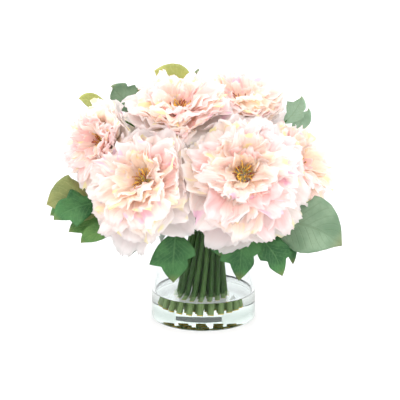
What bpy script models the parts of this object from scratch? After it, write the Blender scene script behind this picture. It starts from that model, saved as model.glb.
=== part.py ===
"""Hand-tied bunch of cloth peonies with their leaves, standing in a clear glass cylinder.

The stems pass through a binding just below the vase's mouth, flare out below it, and stand
in a disc of clear resin that looks like water. Every bloom is a cup of petals in layers on
a small core, with a tuft of stamens in the middle, and sits on the calyx of its own stem.
The leaves come on leafy stems of their own, between the blooms and over the vase's rim.

Frame: metres, +Z up, origin at the centre of the vase's underside, -Y is the front.
"""

import math
from collections import namedtuple

import bmesh
import bpy
import numpy as np
from mathutils import Vector

MM = 0.001
GAP = 0.35 * MM  # clearance between pieces that touch on the real object
SHARP_ANGLE = math.radians(50)  # edges bent more than this stay crisp
SEAM_MERGE = 0.001 * MM  # corners of a seam between joined shapes that are closer than this become one

# Vase
VASE_RADIUS = 63.5 * MM
VASE_HEIGHT = 130 * MM
VASE_WALL = 3.7 * MM
VASE_FLOOR = 9.5 * MM
VASE_EDGE = 1.2 * MM  # rounding of the foot and of the corner inside
VASE_SIDES = 32

# Resin
RESIN_TOP = 32.5 * MM
RESIN_CHAMFER = 2.4 * MM
STEM_HOLE_SLACK = 0.44 * MM

# Bundle of stems
STEM_RADIUS = 2.3 * MM
RING_SPACING = 5.1 * MM  # between the rings of stems at the neck
RINGS = 3
FOOT_Z = 12.0 * MM
NECK_Z = 117 * MM
NECK_CENTRE = Vector((3.0, 0.0)) * MM
FOOT_CENTRE = Vector((-2.6, 0.0)) * MM
FLARE = 1.04  # growth of the bundle from the neck to the foot
TWIST = math.radians(-26)  # turn of the bundle from neck to foot
RING_TURN = (0.0, 0.4, 0.15, 0.05)  # start angle of each ring, in radians
CUT_TOP = 122 * MM
LEAVE_Z = 125 * MM  # where the long stems start to bend out
BUNDLE_LEVELS = (FOOT_Z, 62 * MM, NECK_Z, LEAVE_Z)
RIM_PASS = 6 * MM  # height above the rim of the stems that cross it

# Binding round the neck
BINDING_LOW = 110 * MM
BINDING_HIGH = 118 * MM
BINDING_WALL = 0.9 * MM
BINDING_SLACK = 0.6 * MM
BINDING_FLARE = 1.03  # growth of the bundle inside the binding's height
BINDING_SIDES = 24

# Blooms
CORE_HEIGHT = 21 * MM
CORE_RADII = (8.5 * MM, 11.0 * MM)
CALYX_HEIGHT = 8 * MM
CALYX_RADIUS = 7.5 * MM
CENTRE_ABOVE_CALYX = 30 * MM  # middle of the bloom's outline, along its axis
FULL_SIZE = 62 * MM  # bloom radius that the petal sizes below are given for
PETAL_THICKNESS = 0.9 * MM
PRESS_DEPTH = 10 * MM  # how far from a neighbour the petals start to give way
PRESS_GAP = 0.9 * MM

# Shape of one petal, in shares of its own length and half width
ROOT_WIDTH = 0.12
WIDEST_AT = 0.72
TIP_NARROWING = 0.10
EDGE_POWER = 2.6  # how squarely the tip's rounding sets in towards the sides
BROAD_WAVE = 0.80, 1.6 * math.pi  # height in ruffles, and angle from the middle to the side
NARROW_WAVE = 0.45, 3.4 * math.pi
EDGE_WAVE = 0.70, 2.6 * math.pi  # along the sides, from root to tip
HANG = 0.16  # share by which a petal that points down is longer than a level one
PARITY_RISE = 5, 8  # every second petal lies this many degrees inside its neighbours
PARITY_ROOT = 2.0 * MM

# Leaves
LEAF_THICKNESS = 0.9 * MM
LEAF_FOLD = 0.22  # how steeply each half rises from the midrib
LEAF_RIPPLE = 1.2 * MM
STALK_INTO_LEAF = 6 * MM
PETIOLE_RADIUS = 1.1 * MM
LEAF_CLEARANCE = 4.0 * MM
STALK_CLEARANCE = 3.8 * MM
CLEARING_ROUNDS = 16
RIM_ROUTE_BELOW = 150  # leaves with a base below this, in millimetres, come over the rim

Bloom = namedtuple("Bloom", "centre axis radius seed ring")
Layer = namedtuple(
    "Layer",
    "number count root_out root_up length width rise_root rise_tip cup ruffle tip_round jitter droop cells",
)
Leaf = namedtuple("Leaf", "kind base tip arch facing width lobe_side")
Spray = namedtuple("Spray", "ring leaves colour")

# centre of the outline, direction it faces, radius, seed of its petals, ring of its stem
BLOOMS = {
    "front_left": Bloom((-72, -80, 191), (-0.46, -0.74, 0.50), 67, 1, 2),
    "front_right": Bloom((46, -80, 200), (0.04, -0.85, 0.53), 71, 2, 2),
    "top_left": Bloom((-28, -16, 264), (-0.04, -0.40, 0.91), 60, 3, 1),
    "top_right": Bloom((44, 40, 262), (0.12, -0.30, 0.94), 58, 4, 1),
    "left": Bloom((-125, -22, 221), (-0.78, -0.60, 0.16), 53, 5, 2),
    "right": Bloom((113, 4, 192), (0.80, -0.42, 0.40), 56, 6, 2),
    "back_left": Bloom((-78, 82, 196), (-0.45, 0.80, 0.40), 62, 7, 2),
    "back_right": Bloom((42, 106, 196), (0.35, 0.85, 0.38), 64, 8, 2),
}

# from the outside in; lengths in millimetres for a bloom of FULL_SIZE, angles in degrees
LAYERS = (
    Layer(0, 6, 5, 3.8, 64, 64, 20, -14, 0.16, 2.6, 0.30, 3, 14, (3, 3)),
    Layer(3, 4, 6, 9.8, 66, 58, 52, 10, 0.18, 2.4, 0.26, 4, 8, (3, 2)),
    Layer(6, 4, 6, 15.4, 46, 36, 72, 38, 0.22, 2.0, 0.22, 4, 4, (2, 2)),
)

# Sepals, which hang a little under the calyx
SEPALS = 3
SEPAL_START = 4 * MM
SEPAL_LENGTH = 20 * MM
SEPAL_HALF_WIDTH = 5.5 * MM
SEPAL_FALL = 6 * MM
SEPAL_BELOW = 1.6 * MM
SEPAL_CELLS = (2, 1)

# Stamens on their button
STAMENS = 6
STAMEN_LENGTH = 15 * MM
STAMEN_RADIUS = 0.65 * MM
STAMEN_TIP_RADIUS = 0.85 * MM
STAMEN_SPREAD = 0.62
STAMEN_ROOT_HEIGHT = 1.0 * MM
STAMEN_ROOT_RING = 2.6 * MM
BUTTON_RADII = (4.5 * MM, 2.5 * MM)
BUTTON_HEIGHT = 3.5 * MM
GOLDEN_TURN = math.pi * (3 - math.sqrt(5))

# Outline of each kind of leaf: how far along, and the half width on either side there
LEAF_OUTLINES = {
    "ovate": (
        (0.0, 0.14, 0.40, 0.68, 0.88, 1.0),
        (0.04, 0.60, 1.0, 0.86, 0.40, 0.03),
        (0.04, 0.60, 1.0, 0.86, 0.40, 0.03),
    ),
    "lobed": (
        (0.0, 0.18, 0.44, 0.66, 0.72, 0.88, 1.0),
        (0.05, 0.44, 0.82, 1.0, 0.64, 0.40, 0.03),
        (0.05, 0.52, 0.92, 0.88, 0.70, 0.38, 0.03),
    ),
    "lance": (
        (0.0, 0.24, 0.52, 0.80, 1.0),
        (0.06, 0.74, 1.0, 0.70, 0.04),
        (0.06, 0.74, 1.0, 0.70, 0.04),
    ),
}

# kind, base, tip, how far the middle bows off the straight line, way the blade faces, width
SPRAYS = {
    "right_broad": Spray(3, (
        Leaf("ovate", (82, -34, 128), (163, -52, 103), (4, -4, 9), (0.15, -0.86, 0.48), 73, 1),
    ), "grey_green"),
    "right_low": Spray(3, (
        Leaf("lobed", (64, -57, 117), (92, -68, 71), (4, -6, 4), (0.25, -0.80, 0.50), 42, 1),
        Leaf("lance", (82, -36, 118), (106, -46, 79), (6, -3, 4), (0.35, -0.75, 0.50), 22, 1),
    ), "deep_green"),
    "front_right": Spray(3, (
        Leaf("lobed", (45, -62, 128), (41, -74, 67), (1, -5, 4), (0.0, -0.95, 0.30), 47, -1),
        Leaf("lance", (14, -72, 126), (20, -76, 97), (0, -3, 2), (-0.1, -0.95, 0.30), 24, 1),
    ), "deep_green"),
    "front_left": Spray(3, (
        Leaf("lobed", (-32, -72, 126), (-36, -78, 66), (-1, -5, 4), (0.0, -0.95, 0.30), 52, -1),
        Leaf("lance", (-68, -56, 122), (-88, -62, 92), (-5, -2, 4), (-0.3, -0.85, 0.40), 26, 1),
    ), "deep_green"),
    "left_broad": Spray(3, (
        Leaf("ovate", (-112, -18, 144), (-186, -36, 149), (-4, -2, 8), (-0.1, -0.88, 0.46), 58, 1),
    ), "olive"),
    "left": Spray(3, (
        Leaf("lobed", (-119, -27, 150), (-176, -54, 135), (-5, -2, 4), (-0.2, -0.90, 0.40), 45, 1),
        Leaf("lance", (-118, -8, 134), (-184, -16, 130), (-8, 0, 6), (-0.2, -0.80, 0.55), 30, 1),
    ), "deep_green"),
    "left_low": Spray(3, (
        Leaf("lance", (-98, -38, 123), (-145, -54, 107), (-5, -2, 3), (-0.2, -0.85, 0.50), 24, 1),
        Leaf("lobed", (-100, -20, 118), (-161, -32, 114), (-6, -2, 6), (-0.2, -0.80, 0.58), 34, 1),
    ), "light_green"),
    "top": Spray(1, (
        Leaf("ovate", (-22, 66, 246), (-60, 58, 292), (0, 3, 6), (-0.1, -0.80, 0.60), 54, 1),
        Leaf("lance", (-50, 56, 240), (-84, 48, 272), (-5, 2, 4), (-0.3, -0.80, 0.50), 24, 1),
    ), "olive"),
    "top_left": Spray(2, (
        Leaf("lobed", (-80, 28, 246), (-110, 20, 280), (-5, 5, 4), (-0.2, -0.80, 0.56), 44, 1),
        Leaf("lance", (-110, 30, 244), (-150, 24, 264), (-4, 2, 6), (-0.1, -0.80, 0.58), 20, 1),
    ), "grey_green"),
    "top_right": Spray(2, (
        Leaf("lobed", (98, 60, 226), (119, 52, 262), (5, 4, 0), (0.2, -0.80, 0.56), 28, 1),
        Leaf("lance", (108, 66, 206), (128, 54, 246), (4, 4, 4), (0.3, -0.78, 0.56), 20, 1),
    ), "grey_green"),
    "back_left": Spray(3, (
        Leaf("lobed", (-48, 66, 124), (-62, 78, 68), (-2, 4, 4), (-0.4, 0.85, 0.35), 46, 1),
        Leaf("ovate", (-96, 40, 124), (-150, 66, 100), (-4, 4, 8), (-0.5, 0.60, 0.60), 50, 1),
    ), "grey_green"),
    "back_right": Spray(3, (
        Leaf("lobed", (36, 72, 124), (42, 84, 68), (2, 4, 4), (0.2, 0.92, 0.35), 46, -1),
        Leaf("ovate", (84, 56, 128), (134, 88, 104), (5, 5, 8), (0.5, 0.60, 0.60), 52, 1),
    ), "deep_green"),
    "back": Spray(2, (
        Leaf("lance", (-22, 76, 236), (-6, 86, 290), (-2, 1, 0), (0.0, -0.80, 0.60), 20, 1),
        Leaf("lobed", (-14, 76, 138), (-18, 104, 84), (0, 14, 8), (0.0, 0.95, 0.30), 42, 1),
    ), "grey_green"),
}

COLOURS = {
    "glass": (0.86, 0.92, 0.91, 0.35),
    "clear_resin": (0.90, 0.94, 0.92, 0.35),
    "blush_petal": (0.95, 0.80, 0.76, 1.0),
    "gold_stamen": (0.72, 0.42, 0.12, 1.0),
    "stem_green": (0.16, 0.27, 0.11, 1.0),
    "deep_green": (0.10, 0.26, 0.12, 1.0),
    "light_green": (0.22, 0.36, 0.12, 1.0),
    "grey_green": (0.30, 0.42, 0.30, 1.0),
    "olive": (0.38, 0.40, 0.20, 1.0),
    "binding_green": (0.14, 0.22, 0.10, 1.0),
}


def clear_scene():
    for obj in list(bpy.data.objects):
        bpy.data.objects.remove(obj)


def make_collection(name):
    found = bpy.data.collections.new(name)
    bpy.context.scene.collection.children.link(found)
    return found


def make_material(name):
    material = bpy.data.materials.new(name)
    material.use_nodes = True
    shader = material.node_tree.nodes["Principled BSDF"]
    shader.inputs["Base Color"].default_value = COLOURS[name]
    clear = COLOURS[name][3] < 1
    shader.inputs["Roughness"].default_value = 0.05 if clear else 0.6
    shader.inputs["Transmission Weight"].default_value = 1.0 if clear else 0.0
    return material


def unit(vector):
    return Vector(vector).normalized()


def as_metres(point):
    return Vector(point) * MM


# Bundle of stems


def bundle_point(ring, turn, z):
    """A stem's centre at height z: its place in the neck, spread and twisted below it."""
    share = (NECK_Z - z) / (NECK_Z - FOOT_Z)
    spread = 1 + FLARE * max(0.0, share)
    angle = turn + TWIST * share
    centre = NECK_CENTRE.lerp(FOOT_CENTRE, share)
    radius = ring * RING_SPACING * spread
    return Vector((centre.x + radius * math.cos(angle), centre.y + radius * math.sin(angle), z))


def bundle_places():
    """(ring, turn) of every stem in the bundle."""
    places = [(0, 0.0)]
    for ring in range(1, RINGS + 1):
        count = 6 * ring
        places += [(ring, RING_TURN[ring] + 2 * math.pi * i / count) for i in range(count)]
    return places


def take_place(places, ring, heading):
    """Removes and returns the free place in this ring that lies nearest to a heading."""
    target = math.atan2(heading.y, heading.x)

    def away(place):
        return abs((place[1] - target + math.pi) % (2 * math.pi) - math.pi)

    best = min((p for p in places if p[0] == ring), key=away)
    places.remove(best)
    return best


def hermite(start, start_pull, end, end_pull, t):
    a = 2 * t**3 - 3 * t**2 + 1
    b = t**3 - 2 * t**2 + t
    c = -2 * t**3 + 3 * t**2
    d = t**3 - t**2
    return start * a + start_pull * b + end * c + end_pull * d


def arc(start, leave, end, arrive, pull, steps):
    """Points after start on a smooth way to end."""
    reach = (end - start).length * pull
    return [hermite(start, leave * reach, end, arrive * reach, i / steps) for i in range(1, steps + 1)]


def stem_route(place, end, heading, pull, steps):
    """Points of a stem from its foot through the neck to its end, which it reaches along heading."""
    points = [bundle_point(*place, z) for z in BUNDLE_LEVELS]
    leave = unit(points[-1] - points[-2])
    return points + arc(points[-1], leave, end, heading, pull, steps)


def rim_route(place, end, heading):
    """As stem_route, for a stem that crosses the vase's rim close above it."""
    points = [bundle_point(*place, z) for z in BUNDLE_LEVELS]
    leave = unit(points[-1] - points[-2])
    outward = Vector((end.x, end.y, 0)).normalized()
    over = outward * (VASE_RADIUS - VASE_WALL / 2)
    over.z = VASE_HEIGHT + RIM_PASS
    points += arc(points[-1], leave, over, outward, 0.8, 3)
    return points + arc(over, outward, end, heading, 0.7, 2)


# Mesh helpers


def link_mesh(name, bm, material, collection):
    mesh = bpy.data.meshes.new(name)
    bm.to_mesh(mesh)
    bm.free()
    obj = bpy.data.objects.new(name, mesh)
    mesh.materials.append(material)
    shade_round(mesh)
    collection.objects.link(obj)
    return obj


def shade_round(mesh):
    mesh.shade_smooth()
    mesh.set_sharp_from_angle(angle=SHARP_ANGLE)


def evaluated_mesh(obj):
    graph = bpy.context.evaluated_depsgraph_get()
    return bpy.data.meshes.new_from_object(obj.evaluated_get(graph))


def tube(name, points, radii, material, collection, resolution=1):
    """A round bar through points, with a radius for each, as a closed mesh of six or four sides."""
    curve = bpy.data.curves.new(name, "CURVE")
    curve.dimensions = "3D"
    curve.bevel_depth = 1.0
    curve.bevel_resolution = resolution
    curve.use_fill_caps = True
    spline = curve.splines.new("POLY")
    spline.points.add(len(points) - 1)
    for slot, point, radius in zip(spline.points, points, radii):
        slot.co = (*point, 1.0)
        slot.radius = radius
    guide = bpy.data.objects.new(name + "_guide", curve)
    collection.objects.link(guide)
    bpy.context.view_layer.update()
    mesh = evaluated_mesh(guide)
    bm = bmesh.new()
    bm.from_mesh(mesh)
    bmesh.ops.remove_doubles(bm, verts=bm.verts, dist=0.01 * MM)
    bpy.data.objects.remove(guide)
    bpy.data.meshes.remove(mesh)
    return link_mesh(name, bm, material, collection)


def cone(name, low, high, radius_low, radius_high, sides, material, collection):
    """A closed cone frustum between two points."""
    bm = bmesh.new()
    span = high - low
    bmesh.ops.create_cone(
        bm, cap_ends=True, segments=sides, radius1=radius_low, radius2=radius_high, depth=span.length
    )
    turn = span.to_track_quat("Z", "Y").to_matrix().to_4x4()
    turn.translation = (low + high) / 2
    bm.transform(turn)
    return link_mesh(name, bm, material, collection)


def blade(name, place, cells, thickness, material, collection, stations=None):
    """A thin closed blade: a flat grid moved to place(u, v), cut in triangles and thickened."""
    bm = bmesh.new()
    bmesh.ops.create_grid(bm, x_segments=cells[1], y_segments=cells[0], size=1.0)
    for vert in bm.verts:
        u = (vert.co.y + 1) / 2
        if stations:
            u = stations[round(u * cells[0])]
        vert.co = place(u, vert.co.x)
    bmesh.ops.triangulate(bm, faces=bm.faces)
    obj = link_mesh(name, bm, material, collection)
    solid = obj.modifiers.new("thickness", "SOLIDIFY")
    solid.thickness = thickness
    solid.offset = 0
    return obj


def turned(name, profile, sides, material, collection):
    """A profile in X and Z turned round the Z axis."""
    bm = bmesh.new()
    verts = [bm.verts.new((r, 0, z)) for r, z in profile]
    for a, b in zip(verts, verts[1:]):
        bm.edges.new((a, b))
    obj = link_mesh(name, bm, material, collection)
    screw = obj.modifiers.new("turn", "SCREW")
    screw.steps = screw.render_steps = sides
    screw.use_merge_vertices = True
    screw.merge_threshold = 0.05 * MM
    return obj


def fuse(name, pieces, material, collection):
    """Joins closed pieces into one solid, and removes them."""
    helpers = make_collection(name + "_helpers")
    first, rest = pieces[0], pieces[1:]
    for piece in rest:
        for user in list(piece.users_collection):
            user.objects.unlink(piece)
        helpers.objects.link(piece)
    join = first.modifiers.new("join", "BOOLEAN")
    join.operation = "UNION"
    join.operand_type = "COLLECTION"
    join.collection = helpers
    join.solver = "MANIFOLD"
    bpy.context.view_layer.update()
    mesh = evaluated_mesh(first)
    bm = bmesh.new()
    bm.from_mesh(mesh)
    bmesh.ops.remove_doubles(bm, verts=bm.verts, dist=SEAM_MERGE)
    bm.to_mesh(mesh)
    bm.free()
    mesh.materials.clear()
    mesh.materials.append(material)
    shade_round(mesh)
    for piece in pieces:
        bpy.data.objects.remove(piece)
    bpy.data.collections.remove(helpers)
    mesh.name = name
    obj = bpy.data.objects.new(name, mesh)
    collection.objects.link(obj)
    return obj


# Blooms


def bloom_axes(bloom):
    """Columns: the way a petal at azimuth 0 points, which is the lowest, the side, and the axis."""
    axis = unit(bloom.axis)
    down = Vector((0, 0, -1))
    out = (down - axis * down.dot(axis)).normalized()
    return out, axis.cross(out), axis


def calyx_top(bloom):
    scale = bloom.radius * MM / FULL_SIZE
    return as_metres(bloom.centre) - unit(bloom.axis) * CENTRE_ABOVE_CALYX * scale


def pressed(point, bloom):
    """Petals give way where two blooms press on each other, so that neither crosses the other."""
    centre = as_metres(bloom.centre)
    for other in BLOOMS.values():
        if other is bloom:
            continue
        apart = as_metres(other.centre) - centre
        reach = (bloom.radius + other.radius + 20) * MM
        if apart.length > reach:
            continue
        towards = apart.normalized()
        mine, theirs = bloom.radius * MM, other.radius * MM
        wall = (apart.length_squared + mine**2 - theirs**2) / (2 * apart.length) - PRESS_GAP
        past = (point - centre).dot(towards) - wall
        if past > -PRESS_DEPTH:
            held = -PRESS_DEPTH * math.exp(-(past + PRESS_DEPTH) / PRESS_DEPTH)
            point = point + towards * (held - past)
    return point


def petal_half_width(half, u):
    grown = math.sin(min(1.0, u / WIDEST_AT) * math.pi / 2)
    late = max(0.0, (u - WIDEST_AT) / (1 - WIDEST_AT))
    return half * (ROOT_WIDTH + (1 - ROOT_WIDTH) * grown) * (1 - TIP_NARROWING * late**2)


def petal_lift(layer, phase, u, v):
    """Height of the ruffles over the petal's plain curve."""
    broad, broad_turn = BROAD_WAVE
    narrow, narrow_turn = NARROW_WAVE
    edge, edge_turn = EDGE_WAVE
    wave = broad * math.sin(v * broad_turn + phase[0]) + narrow * math.sin(v * narrow_turn + phase[1] + u)
    side = edge * abs(v) ** 3 * math.sin(u * edge_turn + phase[2])
    return layer.ruffle * MM * math.sqrt(layer.width / 50) * (u * u * wave + u * side)


def petal_place(bloom, layer, index):
    """Returns place(u, v) for one petal: u runs from root to tip, v from side to side."""
    draw = np.random.default_rng([bloom.seed, layer.number, index]).uniform(-1, 1, 16)
    start = np.random.default_rng([bloom.seed, layer.number]).uniform(0, 2 * math.pi)
    out, side, axis = bloom_axes(bloom)
    scale = bloom.radius * MM / FULL_SIZE
    step = 2 * math.pi / layer.count
    azimuth = start + step * (index + 0.16 * draw[0])
    inner = 1 if index % 2 else -1
    heading = out * math.cos(azimuth) + side * math.sin(azimuth)
    sag = layer.droop * max(0.0, -heading.z)
    length = layer.length * (1 + 0.06 * draw[1]) * (1 - HANG * heading.z) * MM
    half = layer.width / 2 * (1 + 0.09 * draw[2]) * MM
    rise_root = layer.rise_root + PARITY_RISE[0] * inner + 0.6 * layer.jitter * draw[3] - 0.5 * sag
    rise_tip = layer.rise_tip + PARITY_RISE[1] * inner + layer.jitter * draw[4] - sag
    rise_root, bend = math.radians(rise_root), math.radians(rise_tip - rise_root)
    cup = layer.cup * (1 + 0.3 * draw[5])
    roll = math.radians(layer.jitter * draw[6])
    phase = math.pi * draw[7:10]
    root_up = layer.root_up * MM + PARITY_ROOT * inner
    base = calyx_top(bloom)
    across = heading.cross(axis) * -1

    def place(u, v):
        run = u * (1 - layer.tip_round * abs(v) ** EDGE_POWER)
        angle = rise_root + bend * run
        forward = length * (math.sin(angle) - math.sin(rise_root)) / bend
        up = length * (math.cos(rise_root) - math.cos(angle)) / bend
        a = v * petal_half_width(half, u)
        lift = cup * a * a / half * (1.25 - 0.5 * u) + petal_lift(layer, phase, u, v)
        x = layer.root_out * MM + forward - math.sin(angle) * lift
        z = root_up + up + math.cos(angle) * lift + a * math.sin(roll)
        point = base + (heading * x + across * a * math.cos(roll) + axis * z) * scale
        return pressed(point, bloom)

    return place


def build_petals(name, bloom, material, collection):
    """All the petals of a bloom, rooted in its core, as one solid."""
    axis = unit(bloom.axis)
    base = calyx_top(bloom)
    low, high = base + axis * GAP, base + axis * CORE_HEIGHT
    pieces = [cone("core", low, high, CORE_RADII[0], CORE_RADII[1], 6, material, collection)]
    for layer in LAYERS:
        for index in range(layer.count):
            place = petal_place(bloom, layer, index)
            pieces.append(blade("petal", place, layer.cells, PETAL_THICKNESS, material, collection))
    return fuse("petals_" + name, pieces, material, collection)


def build_stamens(name, bloom, material, collection):
    """A tuft of stamens on a small button, standing on the bloom's core."""
    out, side, axis = bloom_axes(bloom)
    foot = calyx_top(bloom) + axis * (CORE_HEIGHT + GAP)
    head = foot + axis * BUTTON_HEIGHT
    pieces = [cone("button", foot, head, *BUTTON_RADII, 6, material, collection)]
    for i in range(STAMENS):
        angle = i * GOLDEN_TURN
        spread = math.sqrt((i + 0.5) / STAMENS)
        heading = out * math.cos(angle) + side * math.sin(angle)
        root = foot + axis * STAMEN_ROOT_HEIGHT + heading * spread * STAMEN_ROOT_RING
        tip = root + (axis + heading * STAMEN_SPREAD * spread).normalized() * STAMEN_LENGTH
        pieces.append(cone("stamen", root, tip, STAMEN_RADIUS, STAMEN_TIP_RADIUS, 3, material, collection))
    return fuse("stamens_" + name, pieces, material, collection)


def build_flower_stem(name, bloom, place, materials, collection):
    """A stem with the calyx and its sepals under the bloom."""
    out, side, axis = bloom_axes(bloom)
    top = calyx_top(bloom)
    neck_end = top - axis * CALYX_HEIGHT
    route = stem_route(place, neck_end + axis * 2 * MM, axis, 0.75, 3)
    green = materials["stem_green"]
    radii = [STEM_RADIUS] * len(route)
    pieces = [
        tube("stem", route, radii, green, collection),
        cone("calyx", neck_end, top, STEM_RADIUS, CALYX_RADIUS, 6, green, collection),
    ]
    for i in range(SEPALS):
        angle = math.pi / 2 + i * 2 * math.pi / SEPALS
        heading = out * math.cos(angle) + side * math.sin(angle)
        across = axis.cross(heading)

        def place_sepal(u, v, heading=heading, across=across):
            width = SEPAL_HALF_WIDTH * math.sin(math.pi * (0.25 + 0.72 * u))
            lower = SEPAL_BELOW + SEPAL_FALL * u * u
            return top + heading * (SEPAL_START + SEPAL_LENGTH * u) + across * v * width - axis * lower

        pieces.append(blade("sepal", place_sepal, SEPAL_CELLS, LEAF_THICKNESS, green, collection))
    return fuse("stem_" + name, pieces, green, collection)


# Leaves


def outer_planes(obj):
    """Normals and distances of the faces of the tight convex skin round an object."""
    bm = bmesh.new()
    bm.from_mesh(obj.data)
    skin = bmesh.ops.convex_hull(bm, input=bm.verts, use_existing_faces=False)
    faces = [item for item in skin["geom"] if isinstance(item, bmesh.types.BMFace)]
    bm.normal_update()
    middle = np.mean([vert.co[:] for vert in bm.verts], axis=0)
    normals = np.array([face.normal[:] for face in faces])
    spots = np.array([face.verts[0].co[:] for face in faces])
    normals *= np.sign(np.sum(normals * (spots - middle), axis=1))[:, None]
    bm.free()
    return normals, np.sum(normals * spots, axis=1)


def bent_clear(point, skins, clearance=LEAF_CLEARANCE):
    """Moves a point out of the space that the blooms' petals fill, the shortest way."""
    spot = np.array(point)
    for _ in range(CLEARING_ROUNDS):
        before = spot
        for normals, distances in skins:
            out = normals @ spot - distances
            nearest = int(np.argmax(out))
            if out[nearest] < clearance:
                spot = spot + normals[nearest] * (clearance - out[nearest])
        if spot is before:
            break
    return Vector(spot)


def leaf_half_width(kind, side, u):
    stations, left, right = LEAF_OUTLINES[kind]
    return float(np.interp(u, stations, left if side < 0 else right))


def leaf_place(leaf, skins):
    """Returns place(u, v) for one leaf, and the direction in which its stalk reaches it."""
    base, tip = as_metres(leaf.base), as_metres(leaf.tip)
    knee = (base + tip) / 2 + as_metres(leaf.arch) * 2
    face = unit(leaf.facing)

    def place(u, v):
        spot = base * (1 - u) ** 2 + knee * 2 * u * (1 - u) + tip * u * u
        along = ((knee - base) * (1 - u) + (tip - knee) * u).normalized()
        across = along.cross(face).normalized()
        up = across.cross(along)
        side = v * leaf.lobe_side
        width = leaf.width / 2 * MM * leaf_half_width(leaf.kind, side, u)
        fold = abs(v) * width * LEAF_FOLD
        ripple = LEAF_RIPPLE * abs(v) * math.sin(9 * u + 2 * v)
        return bent_clear(spot + across * v * width + up * (fold + ripple), skins)

    return place, (knee - base).normalized()


def build_spray(name, spray, place, skins, materials, collection):
    """A leafy stem: the bar, a stalk to each further leaf, and the blades, as one solid."""
    green = materials[spray.colour]
    fixed = len(BUNDLE_LEVELS)
    pieces = []
    for number, leaf in enumerate(spray.leaves):
        surface, heading = leaf_place(leaf, skins)
        end = as_metres(leaf.base) + heading * STALK_INTO_LEAF
        if number == 0:
            low = leaf.base[2] < RIM_ROUTE_BELOW
            route = rim_route(place, end, heading) if low else stem_route(place, end, heading, 0.8, 5)
            route = route[:fixed] + [bent_clear(p, skins, STALK_CLEARANCE) for p in route[fixed:]]
            fork = fixed + 2
            taper = np.linspace(STEM_RADIUS, PETIOLE_RADIUS, len(route) - fixed + 1)
            radii = [STEM_RADIUS] * (fixed - 1) + list(taper)
            pieces.append(tube("stem", route, radii, green, collection))
        else:
            leave = unit(route[fork + 1] - route[fork - 1])
            stalk = arc(route[fork], leave, end, heading, 0.7, 3)
            stalk = [route[fork]] + [bent_clear(p, skins, STALK_CLEARANCE) for p in stalk]
            pieces.append(tube("stalk", stalk, [PETIOLE_RADIUS] * len(stalk), green, collection, 0))
        stations = LEAF_OUTLINES[leaf.kind][0]
        cells = (len(stations) - 1, 2)
        pieces.append(blade("leaf", surface, cells, LEAF_THICKNESS, green, collection, stations))
    return fuse("leafy_stem_" + name, pieces, green, collection)


# Vase, resin and binding


def build_vase(material, collection):
    inner = VASE_RADIUS - VASE_WALL
    lip = VASE_WALL * 0.25
    profile = [
        (0, VASE_FLOOR),
        (inner - 2 * VASE_EDGE, VASE_FLOOR),
        (inner, VASE_FLOOR + 2 * VASE_EDGE),
        (inner, VASE_HEIGHT - lip),
        (inner + lip, VASE_HEIGHT),
        (VASE_RADIUS - lip, VASE_HEIGHT),
        (VASE_RADIUS, VASE_HEIGHT - lip),
        (VASE_RADIUS, VASE_EDGE),
        (VASE_RADIUS - VASE_EDGE, 0),
        (0, 0),
    ]
    return turned("vase", profile, VASE_SIDES, material, collection)


def build_resin(places, material, collection, cutters):
    """The clear disc, with a plain blind hole for each stem."""
    wide = VASE_RADIUS - VASE_WALL - GAP
    low = VASE_FLOOR + GAP
    profile = [
        (0, RESIN_TOP),
        (wide, RESIN_TOP),
        (wide, low + RESIN_CHAMFER),
        (wide - RESIN_CHAMFER, low),
        (0, low),
    ]
    disc = turned("resin_water", profile, VASE_SIDES, material, collection)
    for place in places:
        foot = bundle_point(*place, BUNDLE_LEVELS[0])
        above = bundle_point(*place, BUNDLE_LEVELS[1])
        down = unit(foot - above)
        points = [foot + down * GAP, above]
        radius = STEM_RADIUS + STEM_HOLE_SLACK
        tube("stem_hole", points, [radius, radius], material, cutters)
    drill = disc.modifiers.new("stem holes", "BOOLEAN")
    drill.operation = "DIFFERENCE"
    drill.operand_type = "COLLECTION"
    drill.collection = cutters
    drill.solver = "MANIFOLD"
    return disc


def build_binding(material, collection):
    spread = RINGS * RING_SPACING * BINDING_FLARE + STEM_RADIUS + BINDING_SLACK
    inner = (spread + GAP) / math.cos(math.pi / BINDING_SIDES)
    outer = inner + BINDING_WALL
    profile = [
        (inner, BINDING_LOW),
        (inner, BINDING_HIGH),
        (outer, BINDING_HIGH),
        (outer, BINDING_LOW),
        (inner, BINDING_LOW),
    ]
    band = turned("binding", profile, BINDING_SIDES, material, collection)
    band.location = (*(NECK_CENTRE), 0)
    return band


def build_cut_stem(number, place, material, collection):
    """A plain stem that ends just above the binding."""
    levels = BUNDLE_LEVELS[:3] + (CUT_TOP - (number * 7 % 5) * 0.6 * MM,)
    points = [bundle_point(*place, z) for z in levels]
    radii = [STEM_RADIUS] * len(points)
    return tube(f"cut_stem_{number:02d}", points, radii, material, collection)


def main():
    clear_scene()
    parts = make_collection("peony_arrangement")
    cutters = make_collection("cutters")
    cutters.hide_render = True
    materials = {name: make_material(name) for name in COLOURS}

    places = bundle_places()
    all_places = list(places)
    skins = []
    for name, bloom in BLOOMS.items():
        heading = calyx_top(bloom) - Vector((*NECK_CENTRE, 0))
        place = take_place(places, bloom.ring, heading)
        build_flower_stem(name, bloom, place, materials, parts)
        petals = build_petals(name, bloom, materials["blush_petal"], parts)
        skins.append(outer_planes(petals))
        build_stamens(name, bloom, materials["gold_stamen"], parts)
    for name, spray in SPRAYS.items():
        heading = as_metres(spray.leaves[0].base) - Vector((*NECK_CENTRE, 0))
        place = take_place(places, spray.ring, heading)
        build_spray(name, spray, place, skins, materials, parts)
    for number, place in enumerate(places, 1):
        build_cut_stem(number, place, materials["stem_green"], parts)

    build_vase(materials["glass"], parts)
    build_resin(all_places, materials["clear_resin"], parts, cutters)
    build_binding(materials["binding_green"], parts)
    for obj in cutters.objects:
        obj.hide_render = True
        obj.display_type = "WIRE"


main()
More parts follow.
